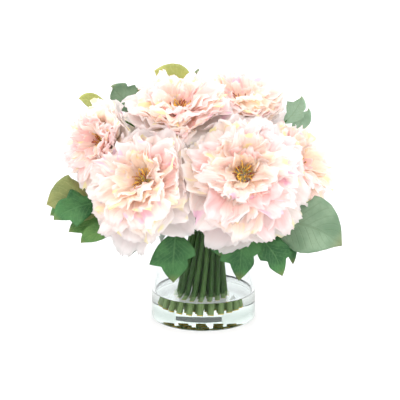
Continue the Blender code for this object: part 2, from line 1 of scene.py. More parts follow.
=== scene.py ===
"""Dresses the peony arrangement: cloth petals, stamens, leaves, stems, clear vase and resin."""

import math
from collections import namedtuple
from functools import partialmethod

import bmesh
import bpy
import numpy as np
from mathutils import Matrix, Vector


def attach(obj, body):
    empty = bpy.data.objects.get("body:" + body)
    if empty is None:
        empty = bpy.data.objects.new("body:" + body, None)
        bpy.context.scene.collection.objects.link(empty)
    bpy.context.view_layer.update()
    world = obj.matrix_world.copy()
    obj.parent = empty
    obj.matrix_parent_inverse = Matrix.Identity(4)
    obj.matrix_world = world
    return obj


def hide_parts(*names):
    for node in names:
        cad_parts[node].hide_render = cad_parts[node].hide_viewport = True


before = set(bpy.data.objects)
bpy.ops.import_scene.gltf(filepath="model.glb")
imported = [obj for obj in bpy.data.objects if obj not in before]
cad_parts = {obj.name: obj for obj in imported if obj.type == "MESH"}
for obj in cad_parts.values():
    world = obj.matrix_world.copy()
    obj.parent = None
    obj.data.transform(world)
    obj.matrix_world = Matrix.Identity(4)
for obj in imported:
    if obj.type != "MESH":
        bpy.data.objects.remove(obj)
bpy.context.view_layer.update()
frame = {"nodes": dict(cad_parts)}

MM = 0.001
GAP = 0.35 * MM
TABLE_GAP = 0.4 * MM  # air under the vase, which stands on its slightly hollow foot

# Camera: its angle above the table, its distance and the point it looks at
CAMERA_RISE = math.radians(15)
CAMERA_AWAY = 1.9
CAMERA_AIM = Vector((-0.0043, 0, 0.145))
CAMERA_LENS = 141.75
CAMERA_SENSOR = 36

# Lamps: place, size, energy. The back one shows as a grey bar in the base of the glass.
LAMPS = {
    "key": ((-0.8, -1.1, 2.0), 1.6, 3.2),
    "fill": ((1.5, -0.9, 1.2), 1.6, 1.6),
    "front": ((0.1, -1.95, 1.0), 1.4, 1.6),
    "back": ((0.15, 1.95, 1.0), 1.35, 2.4),
}
WORLD_STRENGTHS = (0.6, 0.5, 1.2)  # light from below, and what the horizon and the sky add to it
TABLE_RADIUS = 4.0
TABLE_GLOW = 0.62
WHITE = (1.0, 1.0, 1.0, 1.0)

# Vase and resin
VASE_RADIUS = 63.5 * MM
VASE_HEIGHT = 130 * MM
VASE_WALL = 3.7 * MM
VASE_FLOOR = 9.5 * MM
VASE_EDGE = 1.2 * MM
VASE_LIP = VASE_WALL * 0.3
VASE_SOLE = 6 * MM  # width of the outermost ring of its underside
VASE_SIDES = 128
BOWL = 2.4 * MM  # rounding between the vase's wall and its floor
BOWL_EASE = 8 * MM
CORNER_GUARD = 0.3 * MM
WELD = 0.01 * MM
BOND = 0.1 * MM  # faces this close to the glass or the resin count as bonded to it
RESIN_TOP = 32.5 * MM
RESIN_LAP = 0.3 * MM  # how far the resin bites into the glass, so that no film of air shows
RESIN_CREEP = 1.4 * MM  # height of the resin's edge where it climbs the glass

# Bundle of stems
STEM_RADIUS = 2.3 * MM
STEM_FOOT_RADIUS = 3.1 * MM
RING_SPACING = 5.1 * MM
RINGS = 3
FOOT_Z = 12.0 * MM
NECK_Z = 117 * MM
NECK_CENTRE = Vector((3.0, 0.0)) * MM
FOOT_CENTRE = Vector((-2.6, 0.0)) * MM
FLARE = 1.04
TWIST = math.radians(-15)
RING_TURN = (0.0, 0.4, 0.15, 0.05)
CUT_TOP = 122 * MM
CUT_STEP = 0.6 * MM  # the cut stems end unevenly, by steps of this height
AMBER_BAND = (0, 0.3, 0.8, 1.8)  # mm above the foot where an amber band starts, is full, fades and ends
BUNDLE_LEVELS = (FOOT_Z, 46 * MM, 81 * MM, NECK_Z, 125 * MM)
RIM_PASS = 6 * MM
STEM_STEP = 3 * MM
STALK_STEP = 4 * MM
STEM_TONE = 0.3

# Blooms
CORE_HEIGHT = 21 * MM
CORE_RADII = (6.5 * MM, 8.0 * MM)
CALYX_HEIGHT = 8 * MM
CALYX_RADIUS = 7.5 * MM
CALYX_SWELL = ((0.35, 0.55), (0.7, 0.85), (1.0, 1.0))  # shares of its height, and its radius there
SEPALS = 5
SEPAL_ROOT = 3  # mm from the axis to where a sepal starts
SEPAL_LENGTH = 22  # mm
SEPAL_HALF_WIDTH = 5.5 * MM
SEPAL_DROOP = 6 * MM  # how far its tip hangs
SEPAL_CUP = 1.2 * MM  # how far its edges stand up
SEPAL_SINK = 1.6 * MM  # how far it starts below the top of the calyx
SEPAL_TONE = 0.4
GOLDEN_TURN = math.pi * (3 - math.sqrt(5))  # from each stamen to the next
CENTRE_ABOVE_CALYX = 30 * MM
FULL_SIZE = 62 * MM
PETAL_CLOTH = 0.3 * MM
FRINGE_PITCH = 0.9 * MM  # length and depth of the fine teeth at a petal's tip
FRINGE_DEPTH = 1.1 * MM
PRESS_NEAR = 20 * MM  # blooms farther apart than this don't press on each other
PRESS_DEPTH = 10 * MM
PRESS_GAP = 0.5 * MM
PRESS_REACH = 32 * MM  # petals nearer to the next bloom than this spread towards it
PRESS_SPREAD = 0.35
PRESS_WAVE = 2.6 * MM  # height of the waves in the surface where two blooms press on each other
PRESS_WAVE_PITCH = 3.4 * MM
PRESS_WAVE_BEND = 11 * MM
PRESS_WAVE_FADE = 30 * MM
LAP = 0.4  # slope at which one bloom's petals lie over the next bloom's
HANG = 0.16  # share by which petals that point down are longer than level ones

# Leaves
LEAF_CLOTH = 0.5 * MM
LEAF_CELLS = (48, 12)
SEPAL_CELLS = (8, 4)
PETIOLE_RADIUS = 1.1 * MM
PETIOLE_LAP = 6  # mm that a leaf's stalk runs on under its blade
LEAF_FOLD = 0.22  # slope of a leaf's halves, which fold up from the midrib
LEAF_RIPPLE = 1.2 * MM
LEAF_CLEARANCE = 3.0 * MM
STALK_CLEARANCE = 3.8 * MM
CLEARING_ROUNDS = 16
RIM_ROUTE_BELOW = 150  # leaves that start lower than this have a stalk that leans over the rim

Bloom = namedtuple("Bloom", "centre axis radius seed ring")
Layer = namedtuple(
    "Layer",
    "number count root_out root_up length width rise_root rise_tip cup ruffle tip_round teeth curl"
    " scatter jitter droop cells",
)
Leaf = namedtuple("Leaf", "kind base tip arch facing width lobe_side", defaults=(1,))
Spray = namedtuple("Spray", "ring leaves colour")

# centre of the outline, direction it faces, radius, seed of its petals, ring of its stem
BLOOMS = {
    "front_left": Bloom((-72, -80, 191), (-0.46, -0.74, 0.5), 67, 1, 2),
    "front_right": Bloom((46, -80, 200), (0.04, -0.85, 0.53), 71, 2, 2),
    "top_left": Bloom((-28, -16, 264), (-0.04, -0.4, 0.91), 60, 3, 1),
    "top_right": Bloom((44, 40, 262), (0.12, -0.3, 0.94), 58, 4, 1),
    "left": Bloom((-125, -22, 221), (-0.78, -0.6, 0.16), 53, 5, 2),
    "right": Bloom((113, 4, 192), (0.8, -0.42, 0.4), 56, 6, 2),
    "back_left": Bloom((-78, 82, 196), (-0.45, 0.8, 0.4), 62, 7, 2),
    "back_right": Bloom((42, 106, 196), (0.35, 0.85, 0.38), 64, 8, 2),
}

ON_TOP = ("front_right", "front_left", "top_left", "right", "left", "top_right", "back_right", "back_left")

# from the outside in; lengths in millimetres for a bloom of FULL_SIZE, angles in degrees
LAYERS = (
    Layer(0, 6, 5, 3.8, 64, 64, 20, -14, 0.16, 4.4, 0.28, 0.03, 0.02, 0.16, 3, 14, (11, 30)),
    Layer(1, 7, 5, 5.8, 62, 58, 34, -8, 0.16, 4.6, 0.24, 0.04, 0.02, 0.25, 5, 12, (11, 30)),
    Layer(2, 8, 5, 8, 61, 50, 46, -4, 0.18, 4.2, 0.2, 0.055, 0.02, 0.35, 8, 8, (10, 26)),
    Layer(3, 9, 6, 10, 58, 44, 54, 2, 0.2, 3.4, 0.17, 0.07, 0.03, 0.4, 10, 6, (10, 26)),
    Layer(4, 9, 6, 11.5, 54, 38, 62, 10, 0.22, 3.4, 0.15, 0.08, 0.03, 0.45, 12, 4, (9, 22)),
    Layer(5, 9, 6, 13, 48, 33, 68, 20, 0.26, 3.2, 0.12, 0.09, 0.02, 0.5, 14, 3, (9, 22)),
    Layer(6, 8, 7, 14, 40, 29, 70, 30, 0.3, 3, 0.1, 0.1, -0.02, 0.55, 16, 2, (8, 18)),
    Layer(7, 7, 7, 15, 32, 24, 74, 40, 0.34, 2.6, 0.08, 0.11, -0.06, 0.6, 16, 0, (7, 14)),
    Layer(8, 6, 8, 16, 23, 18, 76, 52, 0.36, 2.2, 0.08, 0.12, -0.08, 0.6, 14, 0, (6, 10)),
)
LAST_LAYER = LAYERS[-1].number

# kind, base, tip, how far the middle bows off the straight line, way the blade faces, width
SPRAYS = {
    "right_broad": Spray(3, (
        Leaf("ovate", (82, -34, 128), (163, -52, 103), (4, -4, 9), (0.15, -0.86, 0.48), 73),
    ), "grey_green"),
    "right_low": Spray(3, (
        Leaf("lobed", (64, -57, 117), (92, -68, 71), (4, -6, 4), (0.25, -0.8, 0.5), 42),
        Leaf("lance", (82, -36, 118), (106, -46, 79), (6, -3, 4), (0.35, -0.75, 0.5), 22),
    ), "deep_green"),
    "front_right": Spray(3, (
        Leaf("lobed", (45, -62, 128), (41, -74, 67), (1, -5, 4), (0, -0.95, 0.3), 47, -1),
        Leaf("lance", (14, -72, 126), (20, -76, 97), (0, -3, 2), (-0.1, -0.95, 0.3), 24),
    ), "deep_green"),
    "front_left": Spray(3, (
        Leaf("lobed", (-32, -72, 126), (-36, -78, 66), (-1, -5, 4), (0, -0.95, 0.3), 52, -1),
        Leaf("lance", (-68, -56, 122), (-88, -62, 92), (-5, -2, 4), (-0.3, -0.85, 0.4), 26),
    ), "deep_green"),
    "left_broad": Spray(3, (
        Leaf("ovate", (-112, -18, 144), (-186, -36, 149), (-4, -2, 8), (-0.1, -0.88, 0.46), 58),
    ), "olive"),
    "left": Spray(3, (
        Leaf("lobed", (-119, -27, 150), (-176, -54, 135), (-5, -2, 4), (-0.2, -0.9, 0.4), 45),
        Leaf("lance", (-118, -8, 134), (-184, -16, 130), (-8, 0, 6), (-0.2, -0.8, 0.55), 30),
    ), "deep_green"),
    "left_low": Spray(3, (
        Leaf("lance", (-98, -38, 123), (-145, -54, 107), (-5, -2, 3), (-0.2, -0.85, 0.5), 24),
        Leaf("lobed", (-100, -20, 118), (-161, -32, 114), (-6, -2, 6), (-0.2, -0.8, 0.58), 34),
    ), "light_green"),
    "top": Spray(1, (
        Leaf("ovate", (-22, 66, 246), (-60, 58, 292), (0, 3, 6), (-0.1, -0.8, 0.6), 54),
        Leaf("lance", (-50, 56, 240), (-84, 48, 272), (-5, 2, 4), (-0.3, -0.8, 0.5), 24),
    ), "olive"),
    "top_left": Spray(2, (
        Leaf("lobed", (-80, 28, 246), (-110, 20, 280), (-5, 5, 4), (-0.2, -0.8, 0.56), 44),
        Leaf("lance", (-110, 30, 244), (-150, 24, 264), (-4, 2, 6), (-0.1, -0.8, 0.58), 20),
    ), "grey_green"),
    "top_right": Spray(2, (
        Leaf("lobed", (98, 60, 226), (119, 52, 262), (5, 4, 0), (0.2, -0.8, 0.56), 28),
        Leaf("lance", (108, 66, 206), (128, 54, 246), (4, 4, 4), (0.3, -0.78, 0.56), 20),
    ), "grey_green"),
    "back_left": Spray(3, (
        Leaf("lobed", (-48, 66, 124), (-62, 78, 68), (-2, 4, 4), (-0.4, 0.85, 0.35), 46),
        Leaf("ovate", (-96, 40, 124), (-150, 66, 100), (-4, 4, 8), (-0.5, 0.6, 0.6), 50),
    ), "grey_green"),
    "back_right": Spray(3, (
        Leaf("lobed", (36, 72, 124), (42, 84, 68), (2, 4, 4), (0.2, 0.92, 0.35), 46, -1),
        Leaf("ovate", (84, 56, 128), (134, 88, 104), (5, 5, 8), (0.5, 0.6, 0.6), 52),
    ), "deep_green"),
    "back": Spray(2, (
        Leaf("lance", (-22, 76, 236), (-6, 86, 290), (-2, 1, 0), (0, -0.8, 0.6), 20),
        Leaf("lobed", (-14, 76, 138), (-18, 104, 84), (0, 14, 8), (0, 0.95, 0.3), 42),
    ), "grey_green"),
}

# Outline of each kind of leaf: how far along, and the half width there, one row for each half
LEAF_OUTLINES = {
    "ovate": (
        (0, 0.03, 0.08, 0.15, 0.25, 0.38, 0.5, 0.62, 0.74, 0.85, 0.93, 1),
        (0.04, 0.22, 0.42, 0.63, 0.84, 0.98, 1, 0.92, 0.72, 0.45, 0.2, 0),
    ),
    "lobed": (
        (0, 0.05, 0.12, 0.22, 0.34, 0.46, 0.56, 0.63, 0.67, 0.71, 0.78, 0.88, 0.95, 1),
        (0.05, 0.17, 0.33, 0.54, 0.74, 0.88, 0.98, 1.04, 1.06, 0.52, 0.44, 0.28, 0.13, 0),
        (0.05, 0.2, 0.42, 0.7, 0.92, 0.98, 0.62, 0.66, 0.67, 0.65, 0.54, 0.32, 0.14, 0),
    ),
    "lance": (
        (0, 0.06, 0.16, 0.3, 0.46, 0.6, 0.74, 0.86, 0.94, 1),
        (0.05, 0.3, 0.62, 0.9, 1, 0.92, 0.7, 0.42, 0.2, 0),
    ),
}


def unit(vector):
    return Vector(vector).normalized()


def as_metres(point):
    return Vector(point) * MM


def paint(red, green, blue):
    """A linear colour from the 0 to 255 values of a paint chart."""
    return tuple((value / 255) ** 2.2 for value in (red, green, blue)) + (1.0,)


# Node trees


class Term:
    """A number in a node tree. Arithmetic on terms adds the nodes that work it out."""

    def __init__(self, tree, socket):
        self.tree = tree
        self.socket = socket

    def apply(self, operation, *others):
        node = add(self.tree, "ShaderNodeMath", self, *others, operation=operation)
        return Term(self.tree, node.outputs[0])

    __add__ = __radd__ = partialmethod(apply, "ADD")
    __sub__ = partialmethod(apply, "SUBTRACT")
    __rsub__ = partialmethod(apply, "MULTIPLY_ADD", -1.0)
    __mul__ = __rmul__ = partialmethod(apply, "MULTIPLY")
    __neg__ = partialmethod(apply, "MULTIPLY", -1.0)
    __truediv__ = partialmethod(apply, "DIVIDE")
    __pow__ = partialmethod(apply, "POWER")
    exp = partialmethod(apply, "EXPONENT")
    sin = partialmethod(apply, "SINE")
    cos = partialmethod(apply, "COSINE")
    size = partialmethod(apply, "ABSOLUTE")
    part = partialmethod(apply, "FRACT")
    at_least = partialmethod(apply, "MAXIMUM")
    at_most = partialmethod(apply, "MINIMUM")

    def ramp(self, low, high):
        """0 below low, 1 above high, smooth between."""
        node = add(self.tree, "ShaderNodeMapRange", self, low, high, interpolation_type="SMOOTHSTEP")
        return Term(self.tree, node.outputs["Result"])

    def fall(self, low, high):
        """1 below low, 0 above high, smooth between."""
        return 1 - self.ramp(low, high)


def feed(tree, slot, value):
    """Sets a slot to a plain value, or links a term or another node's output to it."""
    if isinstance(value, Term):
        value = value.socket
    if isinstance(value, bpy.types.NodeSocket):
        tree.links.new(value, slot)
    else:
        slot.default_value = value


def add(tree, kind, *numbered, **named):
    """A node. Its first inputs are numbered, others have a name with a capital, the rest are settings."""
    node = tree.nodes.new(kind)
    inputs = dict(enumerate(numbered))
    for name, value in named.items():
        if name[0].isupper():
            inputs[name.replace("_", " ")] = value
        else:
            setattr(node, name, value)
    for name, value in inputs.items():
        feed(tree, node.inputs[name], value)
    return node


class Nodes:
    """A node tree with short ways to add to it."""

    def __init__(self, tree, family):
        self.tree = tree
        self.family = family

    def put(self, kind, *numbered, output=0, **named):
        """Adds a node and returns an output. Its kind goes without the name of the tree's family."""
        full = kind if "Node" in kind else self.family + kind
        return Term(self.tree, add(self.tree, full, *numbered, **named).outputs[output])

    def combined(self, x, y, z):
        return self.put("ShaderNodeCombineXYZ", x, y, z)

    def split(self, vector, axis):
        return self.put("ShaderNodeSeparateXYZ", vector, output=axis)


class Shape(Nodes):
    """A Geometry Nodes tree with named inputs, given as a table of whole or decimal numbers."""

    def __init__(self, name, sizes):
        super().__init__(bpy.data.node_groups.new(name, "GeometryNodeTree"), "GeometryNode")
        sockets = self.tree.interface
        for way in ("INPUT", "OUTPUT"):
            sockets.new_socket("Geometry", in_out=way, socket_type="NodeSocketGeometry")
        for label, value in sizes.items():
            kind = "NodeSocketInt" if isinstance(value, int) else "NodeSocketFloat"
            sockets.new_socket(label, in_out="INPUT", socket_type=kind).default_value = value
        self.inlet = self.tree.nodes.new("NodeGroupInput")

    def given(self, label="Geometry"):
        """What the tree is given: its mesh, or one of its named inputs."""
        return Term(self.tree, self.inlet.outputs[label])

    def read(self, name):
        """A number stored on the points."""
        return self.put("InputNamedAttribute", name, output="Attribute", data_type="FLOAT")

    def store(self, mesh, name, value):
        types = {"data_type": "FLOAT", "domain": "POINT"}
        return self.put("StoreNamedAttribute", mesh, Name=name, Value=value, **types)

    def end(self, mesh, material):
        """Shades the shape smooth, gives it its material and ends the tree."""
        done = self.put("SetMaterial", self.put("SetShadeSmooth", mesh), Material=material)
        add(self.tree, "NodeGroupOutput", done)
        return self.tree


def linked(name, data):
    """A new object in the scene."""
    obj = bpy.data.objects.new(name, data)
    bpy.context.scene.collection.objects.link(obj)
    return obj


def mesh_of(name, bm):
    mesh = bpy.data.meshes.new(name)
    bm.to_mesh(mesh)
    bm.free()
    return mesh


def mark(mesh, label, values, domain="POINT"):
    """Stores a number on each point or face."""
    marks = mesh.attributes.new(label, "FLOAT", domain)
    marks.data.foreach_set("value", np.asarray(values, np.float32))


def apply_modifiers(piece):
    result = bpy.data.meshes.new_from_object(piece.evaluated_get(bpy.context.evaluated_depsgraph_get()))
    piece.modifiers.clear()
    old = piece.data
    piece.data = result
    bpy.data.meshes.remove(old)


def grown(name, mesh, tree, values):
    """Runs a tree on a mesh and returns an object that holds the plain result."""
    piece = linked(name, mesh)
    modifier = piece.modifiers.new("shape", "NODES")
    modifier.node_group = tree
    for item in tree.interface.items_tree:
        if item.in_out == "INPUT" and item.name in values:
            modifier[item.identifier] = values[item.name]
    bpy.context.view_layer.update()
    apply_modifiers(piece)
    piece.data.name = name
    return piece


def coordinates(mesh):
    flat = np.empty(len(mesh.vertices) * 3, np.float32)
    mesh.vertices.foreach_get("co", flat)
    return flat.reshape(-1, 3).astype(float)


def set_coordinates(mesh, points):
    mesh.vertices.foreach_set("co", np.asarray(points, np.float32).ravel())
    mesh.update()


# Materials


class Finish(Nodes):
    """A material with a Principled shader and short ways to build its pattern."""

    def __init__(self, name):
        self.material = bpy.data.materials.new(name)
        self.material.use_nodes = True
        super().__init__(self.material.node_tree, "ShaderNode")
        self.shader = self.tree.nodes["Principled BSDF"]

    def value(self, name):
        """A number stored on the piece."""
        return self.put("Attribute", output="Fac", attribute_name=name)

    def place(self, *scale):
        """The place on the piece. With a scale for each axis, a pattern there is drawn out."""
        place = self.put("TexCoord", output="Object")
        return self.put("Mapping", place, Scale=scale) if scale else place

    def noise(self, scale, detail=2.0, vector=None, rough=0.5):
        vector = vector or self.place()
        return self.put("TexNoise", vector, Scale=scale, Detail=detail, Roughness=rough)

    def mix(self, share, first, second):
        node = add(self.tree, "ShaderNodeMix", share, data_type="RGBA")
        feed(self.tree, node.inputs[6], first)
        feed(self.tree, node.inputs[7], second)
        return Term(self.tree, node.outputs[2])

    def coats(self, body, *coats):
        """Lays coats over a colour; each is the share that shows of it, and its colour."""
        for share, colour in coats:
            body = self.mix(share, body, colour)
        return body

    def bump(self, height, strength, distance):
        self.set(Normal=self.put("Bump", Height=height, Strength=strength, Distance=distance))

    def set(self, **values):
        for name, value in values.items():
            feed(self.tree, self.shader.inputs[name.replace("_", " ")], value)

    def put_out(self, name, shader):
        feed(self.tree, self.tree.nodes["Material Output"].inputs[name], shader)

    def let_light_through(self, share, colour):
        """Mixes in a translucent shader, as thin cloth lets light through.

        A blade has two faces, so its inside lets light pass and each cloth colours it once.
        """
        thin = self.put("BsdfTranslucent", colour)
        cloth = self.put("MixShader", share, self.shader.outputs[0], thin)
        inside = self.put("NewGeometry", output="Backfacing")
        self.put_out("Surface", self.put("MixShader", inside, cloth, self.put("BsdfTransparent")))

    def tint_inside(self, colour, density):
        """Colours the light on its way through a solid."""
        self.put_out("Volume", self.put("VolumeAbsorption", colour, density))


# Dye of both sides of a petal: rims and throats of the outermost and the innermost, share of blush
PETAL_DYES = {
    "blush petal cloth": ((254, 245, 242), (255, 232, 227), (254, 234, 226), (255, 209, 197), 0.5),
    "blush petal underside": ((254, 246, 242), (255, 234, 228), (246, 234, 184), (255, 220, 202), 0.3),
}


def petal_dye(name, outer_rim, inner_rim, outer_throat, inner_throat, blush_share):
    """Dye of a petal's side: throat at its root, rim at its tip, blush and lemon or mauve patches."""
    finish = Finish(name)
    along, across, tone = map(finish.value, ("along", "across", "tone"))
    inner = (finish.value("layer") / LAST_LAYER).at_most(1.0)
    spot = finish.combined(across * 1.3 + tone * 37, along * 1.7 + tone * 11, tone * 23)
    grain = finish.combined(across * 9 + tone * 37, along * 1.2, tone * 23)
    streaks = finish.noise(1.6, 3.0, grain)
    patches = finish.noise(1.5, 1.0, spot)
    root = finish.mix(inner, paint(*outer_throat), paint(*inner_throat))
    tip = finish.mix(inner, paint(*outer_rim), paint(*inner_rim))
    pinker = tone.ramp(0.56, 0.64) * tone.fall(0.80, 0.86)
    blush = streaks.ramp(0.48, 0.72) * inner.ramp(0.0, 0.4)
    # paler rims: partly the cloth's own paler edge, partly a painted highlight along each petal's tip and
    # sides
    edge = along.ramp(0.84, 1.0) * 0.7 + across.size().ramp(0.84, 1.0) * along.ramp(0.3, 0.7) * 0.5
    lemon = patches.ramp(0.58, 0.68) * along.ramp(0.5, 0.85) * tone.fall(0.34, 0.38)
    mauve = patches.ramp(0.60, 0.70) * along.ramp(0.45, 0.80) * tone.ramp(0.80, 0.84)
    body = finish.coats(
        finish.mix((along - inner * 0.12).ramp(0.10, 0.72), root, tip),
        (inner.ramp(0.4, 0.8) * 0.85, paint(255, 236, 224)),  # warmer towards the middle
        (tone.fall(0.16, 0.30) * 0.4, paint(255, 240, 206)),  # some petals are creamier
        (pinker * 0.5, paint(255, 200, 204)),
        (inner.fall(0.1, 0.3) * 0.75, paint(238, 233, 233)),  # the outermost are almost white, greyed a little as painted shade
        (blush * blush_share, paint(255, 200, 192)),
        # painted highlight on the rims, over a paler rim dye
        (edge.at_most(0.9), paint(255, 251, 251)),
        (lemon * 0.7, paint(253, 246, 172)),
        (mauve * 0.55, paint(250, 182, 226)),
    )
    finish.set(Base_Color=body, Roughness=0.72, Specular_IOR_Level=0.15)
    finish.set(Sheen_Weight=0.3, Sheen_Roughness=0.5)
    finish.bump(finish.noise(2.2, 3.0, grain), 0.3, 0.5 * MM)
    finish.let_light_through(0.55, body)
    return finish.material


def stamen_thread():
    """Gold threads and some russet ones, with a yellow to brown knob at the end."""
    finish = Finish("stamen thread")
    along, tone = map(finish.value, ("along", "tone"))
    upper = along.ramp(0.0, 0.55)
    gold = finish.mix(upper, paint(206, 206, 124), paint(250, 200, 92))
    russet = finish.mix(upper, paint(170, 142, 78), paint(166, 78, 50))
    knob = finish.mix(tone.ramp(0.40, 0.70), paint(240, 190, 70), paint(128, 48, 34))
    body = finish.coats(gold, (tone.ramp(0.50, 0.56), russet), (along.ramp(0.66, 0.92), knob))
    finish.set(Base_Color=body, Roughness=0.6, Specular_IOR_Level=0.3)
    finish.bump(finish.noise(2600.0), 0.3, 0.3 * MM)
    return finish.material


# Middle tone, dark tone and veins of each leaf cloth
LEAF_PAINTS = {
    "deep_green": ((68, 116, 66), (40, 84, 46), (86, 130, 80)),
    "light_green": ((92, 132, 70), (64, 104, 54), (112, 146, 84)),
    "grey_green": ((123, 147, 120), (96, 123, 96), (100, 124, 94)),
    "mist_green": ((152, 182, 156), (126, 160, 132), (130, 156, 126)),
    "olive": ((132, 138, 84), (108, 118, 70), (150, 154, 100)),
    "pale_olive": ((164, 168, 92), (142, 148, 84), (178, 180, 116)),
}
# Leaves that have another colour than the rest of their spray
ODD_LEAVES = {
    ("top", 0): "pale_olive",
    ("top_left", 1): "pale_olive",
    ("top_right", 0): "mist_green",
    ("top_right", 1): "mist_green",
}


def leaf_cloth(colour):
    """Printed leaf cloth: a pale midrib, side veins that sweep to the tip, a fine net between."""
    finish = Finish("leaf " + colour.replace("_", " "))
    middle, dark, vein = (paint(*shade) for shade in LEAF_PAINTS[colour])
    along, across, tone = map(finish.value, ("along", "across", "tone"))
    reach = across.size()
    rib = (reach / (0.02 + 0.05 * (1 - along))).fall(0.5, 1.4)
    sweep = (along * 9.5 - reach ** 0.85 * 3.1 + across.ramp(-0.01, 0.01) * 0.5 + tone * 5).part()
    side_vein = ((sweep - 0.5).size() * 2).fall(0.06, 0.26)
    side_vein = side_vein * reach.fall(0.72, 1.0) * reach.ramp(0.0, 0.08)
    net = finish.noise(420.0, 3.0, rough=0.65)
    body = finish.coats(
        finish.mix(finish.noise(38.0).ramp(0.34, 0.68), dark, middle),
        (net.ramp(0.46, 0.66) * 0.30, vein),
        (side_vein * 0.30, vein),
        (rib * 0.5, vein),
        (along.ramp(0.82, 1.0) * 0.25, paint(168, 150, 92)),
    )
    finish.set(Base_Color=body, Roughness=finish.noise(240.0).ramp(0.0, 1.0) * 0.16 + 0.46)
    finish.set(Specular_IOR_Level=0.35)
    finish.bump(net * 0.35 - side_vein * 0.8 - rib, 0.5, 0.7 * MM)
    finish.let_light_through(0.14, body)
    return finish.material


def stem_plastic():
    """Streaked green plastic with painted light: it is painted lighter where it stands in the resin. An
    amber band runs just above the foot.
    """
    finish = Finish("stem green")
    streaks = finish.noise(900.0, 3.0, finish.place(1.0, 1.0, 0.08))
    height = finish.split(finish.place(), 2)
    start, full, fading, end = (FOOT_Z + rise * MM for rise in AMBER_BAND)
    body = finish.coats(
        finish.mix(finish.value("tone").ramp(0.0, 1.0), paint(66, 100, 52), paint(98, 134, 74)),
        (streaks.ramp(0.42, 0.66) * 0.45, paint(26, 48, 20)),
        (finish.noise(60.0).ramp(0.5, 0.75) * 0.25, paint(84, 112, 60)),
        # painted light: a lighter green below the resin's top, where the glass keeps light from the stems
        (height.fall(RESIN_TOP - 3 * MM, RESIN_TOP) * 0.8, paint(150, 176, 118)),
        # an amber band just above each stem's foot
        (height.ramp(start, full) * height.fall(fading, end), paint(240, 196, 84)),
    )
    finish.set(Base_Color=body, Roughness=0.55, Specular_IOR_Level=0.2)
    finish.bump(streaks, 0.35, 0.5 * MM)
    return finish.material


def binding_tape():
    finish = Finish("binding tape")
    turns = finish.noise(1400.0, 2.0, finish.place(0.15, 0.15, 1.0))
    body = finish.mix(turns.ramp(0.4, 0.65), paint(62, 92, 54), paint(88, 118, 74))
    finish.set(Base_Color=body, Roughness=0.7)
    finish.bump(turns, 0.4, 0.6 * MM)
    return finish.material


def clear_solid(name, ripples, dull, depth, tint, density, **settings):
    """Clear, slightly rippled glass or resin, of which the bonded faces don't show.

    dull: where along a ripple it starts to be less smooth, where it is so in full, and how much.
    """
    finish = Finish(name)
    ripple = finish.noise(ripples, 1.0)
    start, full, most = dull
    finish.set(Transmission_Weight=1.0, IOR=1.5, Alpha=1 - finish.value("wetted"), **settings)
    finish.set(Roughness=ripple.ramp(start, full) * most)
    finish.bump(ripple, depth, 2 * MM)
    finish.tint_inside(tint, density)
    return finish.material


def clear_glass():
    return clear_solid(
        "clear glass", ripples=14.0, dull=(0.55, 0.9, 0.015), depth=0.03,
        tint=(0.50, 0.56, 0.53, 1.0), density=18.0,
        Base_Color=(0.92, 0.945, 0.95, 1.0), Specular_Tint=(0.1, 0.1, 0.1, 1.0),
    )


def clear_resin():
    return clear_solid(
        "clear resin", ripples=30.0, dull=(0.6, 0.9, 0.02), depth=0.04,
        tint=(0.50, 0.60, 0.46, 1.0), density=2.0, Base_Color=WHITE,
    )


def table_top():
    finish = Finish("pale table")
    shade = finish.mix(finish.noise(3.0), paint(150, 150, 150), paint(154, 154, 154))
    finish.set(Base_Color=shade, Roughness=0.6, Specular_IOR_Level=0.2)
    finish.set(Emission_Color=WHITE, Emission_Strength=TABLE_GLOW)
    return finish.material


# Bundle of stems


def bundle_point(ring, turn, z):
    """A stem's centre at height z: its place in the neck, spread and twisted below it."""
    share = (NECK_Z - z) / (NECK_Z - FOOT_Z)
    spread = 1 + FLARE * max(0.0, share)
    angle = turn + TWIST * share
    centre = NECK_CENTRE.lerp(FOOT_CENTRE, share)
    radius = ring * RING_SPACING * spread
    return Vector((centre.x + radius * math.cos(angle), centre.y + radius * math.sin(angle), z))


def bundle_places():
    places = [(0, 0.0)]
    for ring in range(1, RINGS + 1):
        count = 6 * ring
        places += [(ring, RING_TURN[ring] + 2 * math.pi * i / count) for i in range(count)]
    return places


def take_place(places, ring, heading):
    """Takes the free place of a ring that lies nearest to a heading."""
    target = math.atan2(heading.y, heading.x)

    def away(place):
        return abs((place[1] - target + math.pi) % (2 * math.pi) - math.pi)

    best = min((p for p in places if p[0] == ring), key=away)
    places.remove(best)
    return best


def hermite(start, start_pull, end, end_pull, t):
    a = 2 * t**3 - 3 * t**2 + 1
    b = t**3 - 2 * t**2 + t
    c = -2 * t**3 + 3 * t**2
    d = t**3 - t**2
    return start * a + start_pull * b + end * c + end_pull * d


def arc(start, leave, end, arrive, pull, steps):
    reach = (end - start).length * pull
    return [hermite(start, leave * reach, end, arrive * reach, i / steps) for i in range(1, steps + 1)]


def bundle_radius(z):
    """Stems are thicker towards their foot."""
    share = min(1.0, max(0.0, (NECK_Z - z) / (NECK_Z - FOOT_Z)))
    return STEM_RADIUS + (STEM_FOOT_RADIUS - STEM_RADIUS) * share**0.8


def stem_route(place, end, heading, pull, over_rim=False):
    """A stem's way up the bundle and on to its end, straight there or close over the vase's rim."""
    points = [bundle_point(*place, z) for z in BUNDLE_LEVELS]
    leave = unit(points[-1] - points[-2])
    if not over_rim:
        return points + arc(points[-1], leave, end, heading, pull, steps=5)
    outward = Vector((end.x, end.y, 0)).normalized()
    over = outward * (VASE_RADIUS - VASE_WALL / 2)
    over.z = VASE_HEIGHT + RIM_PASS
    points += arc(points[-1], leave, over, outward, pull, steps=3)
    return points + arc(over, outward, end, heading, pull=0.7, steps=2)


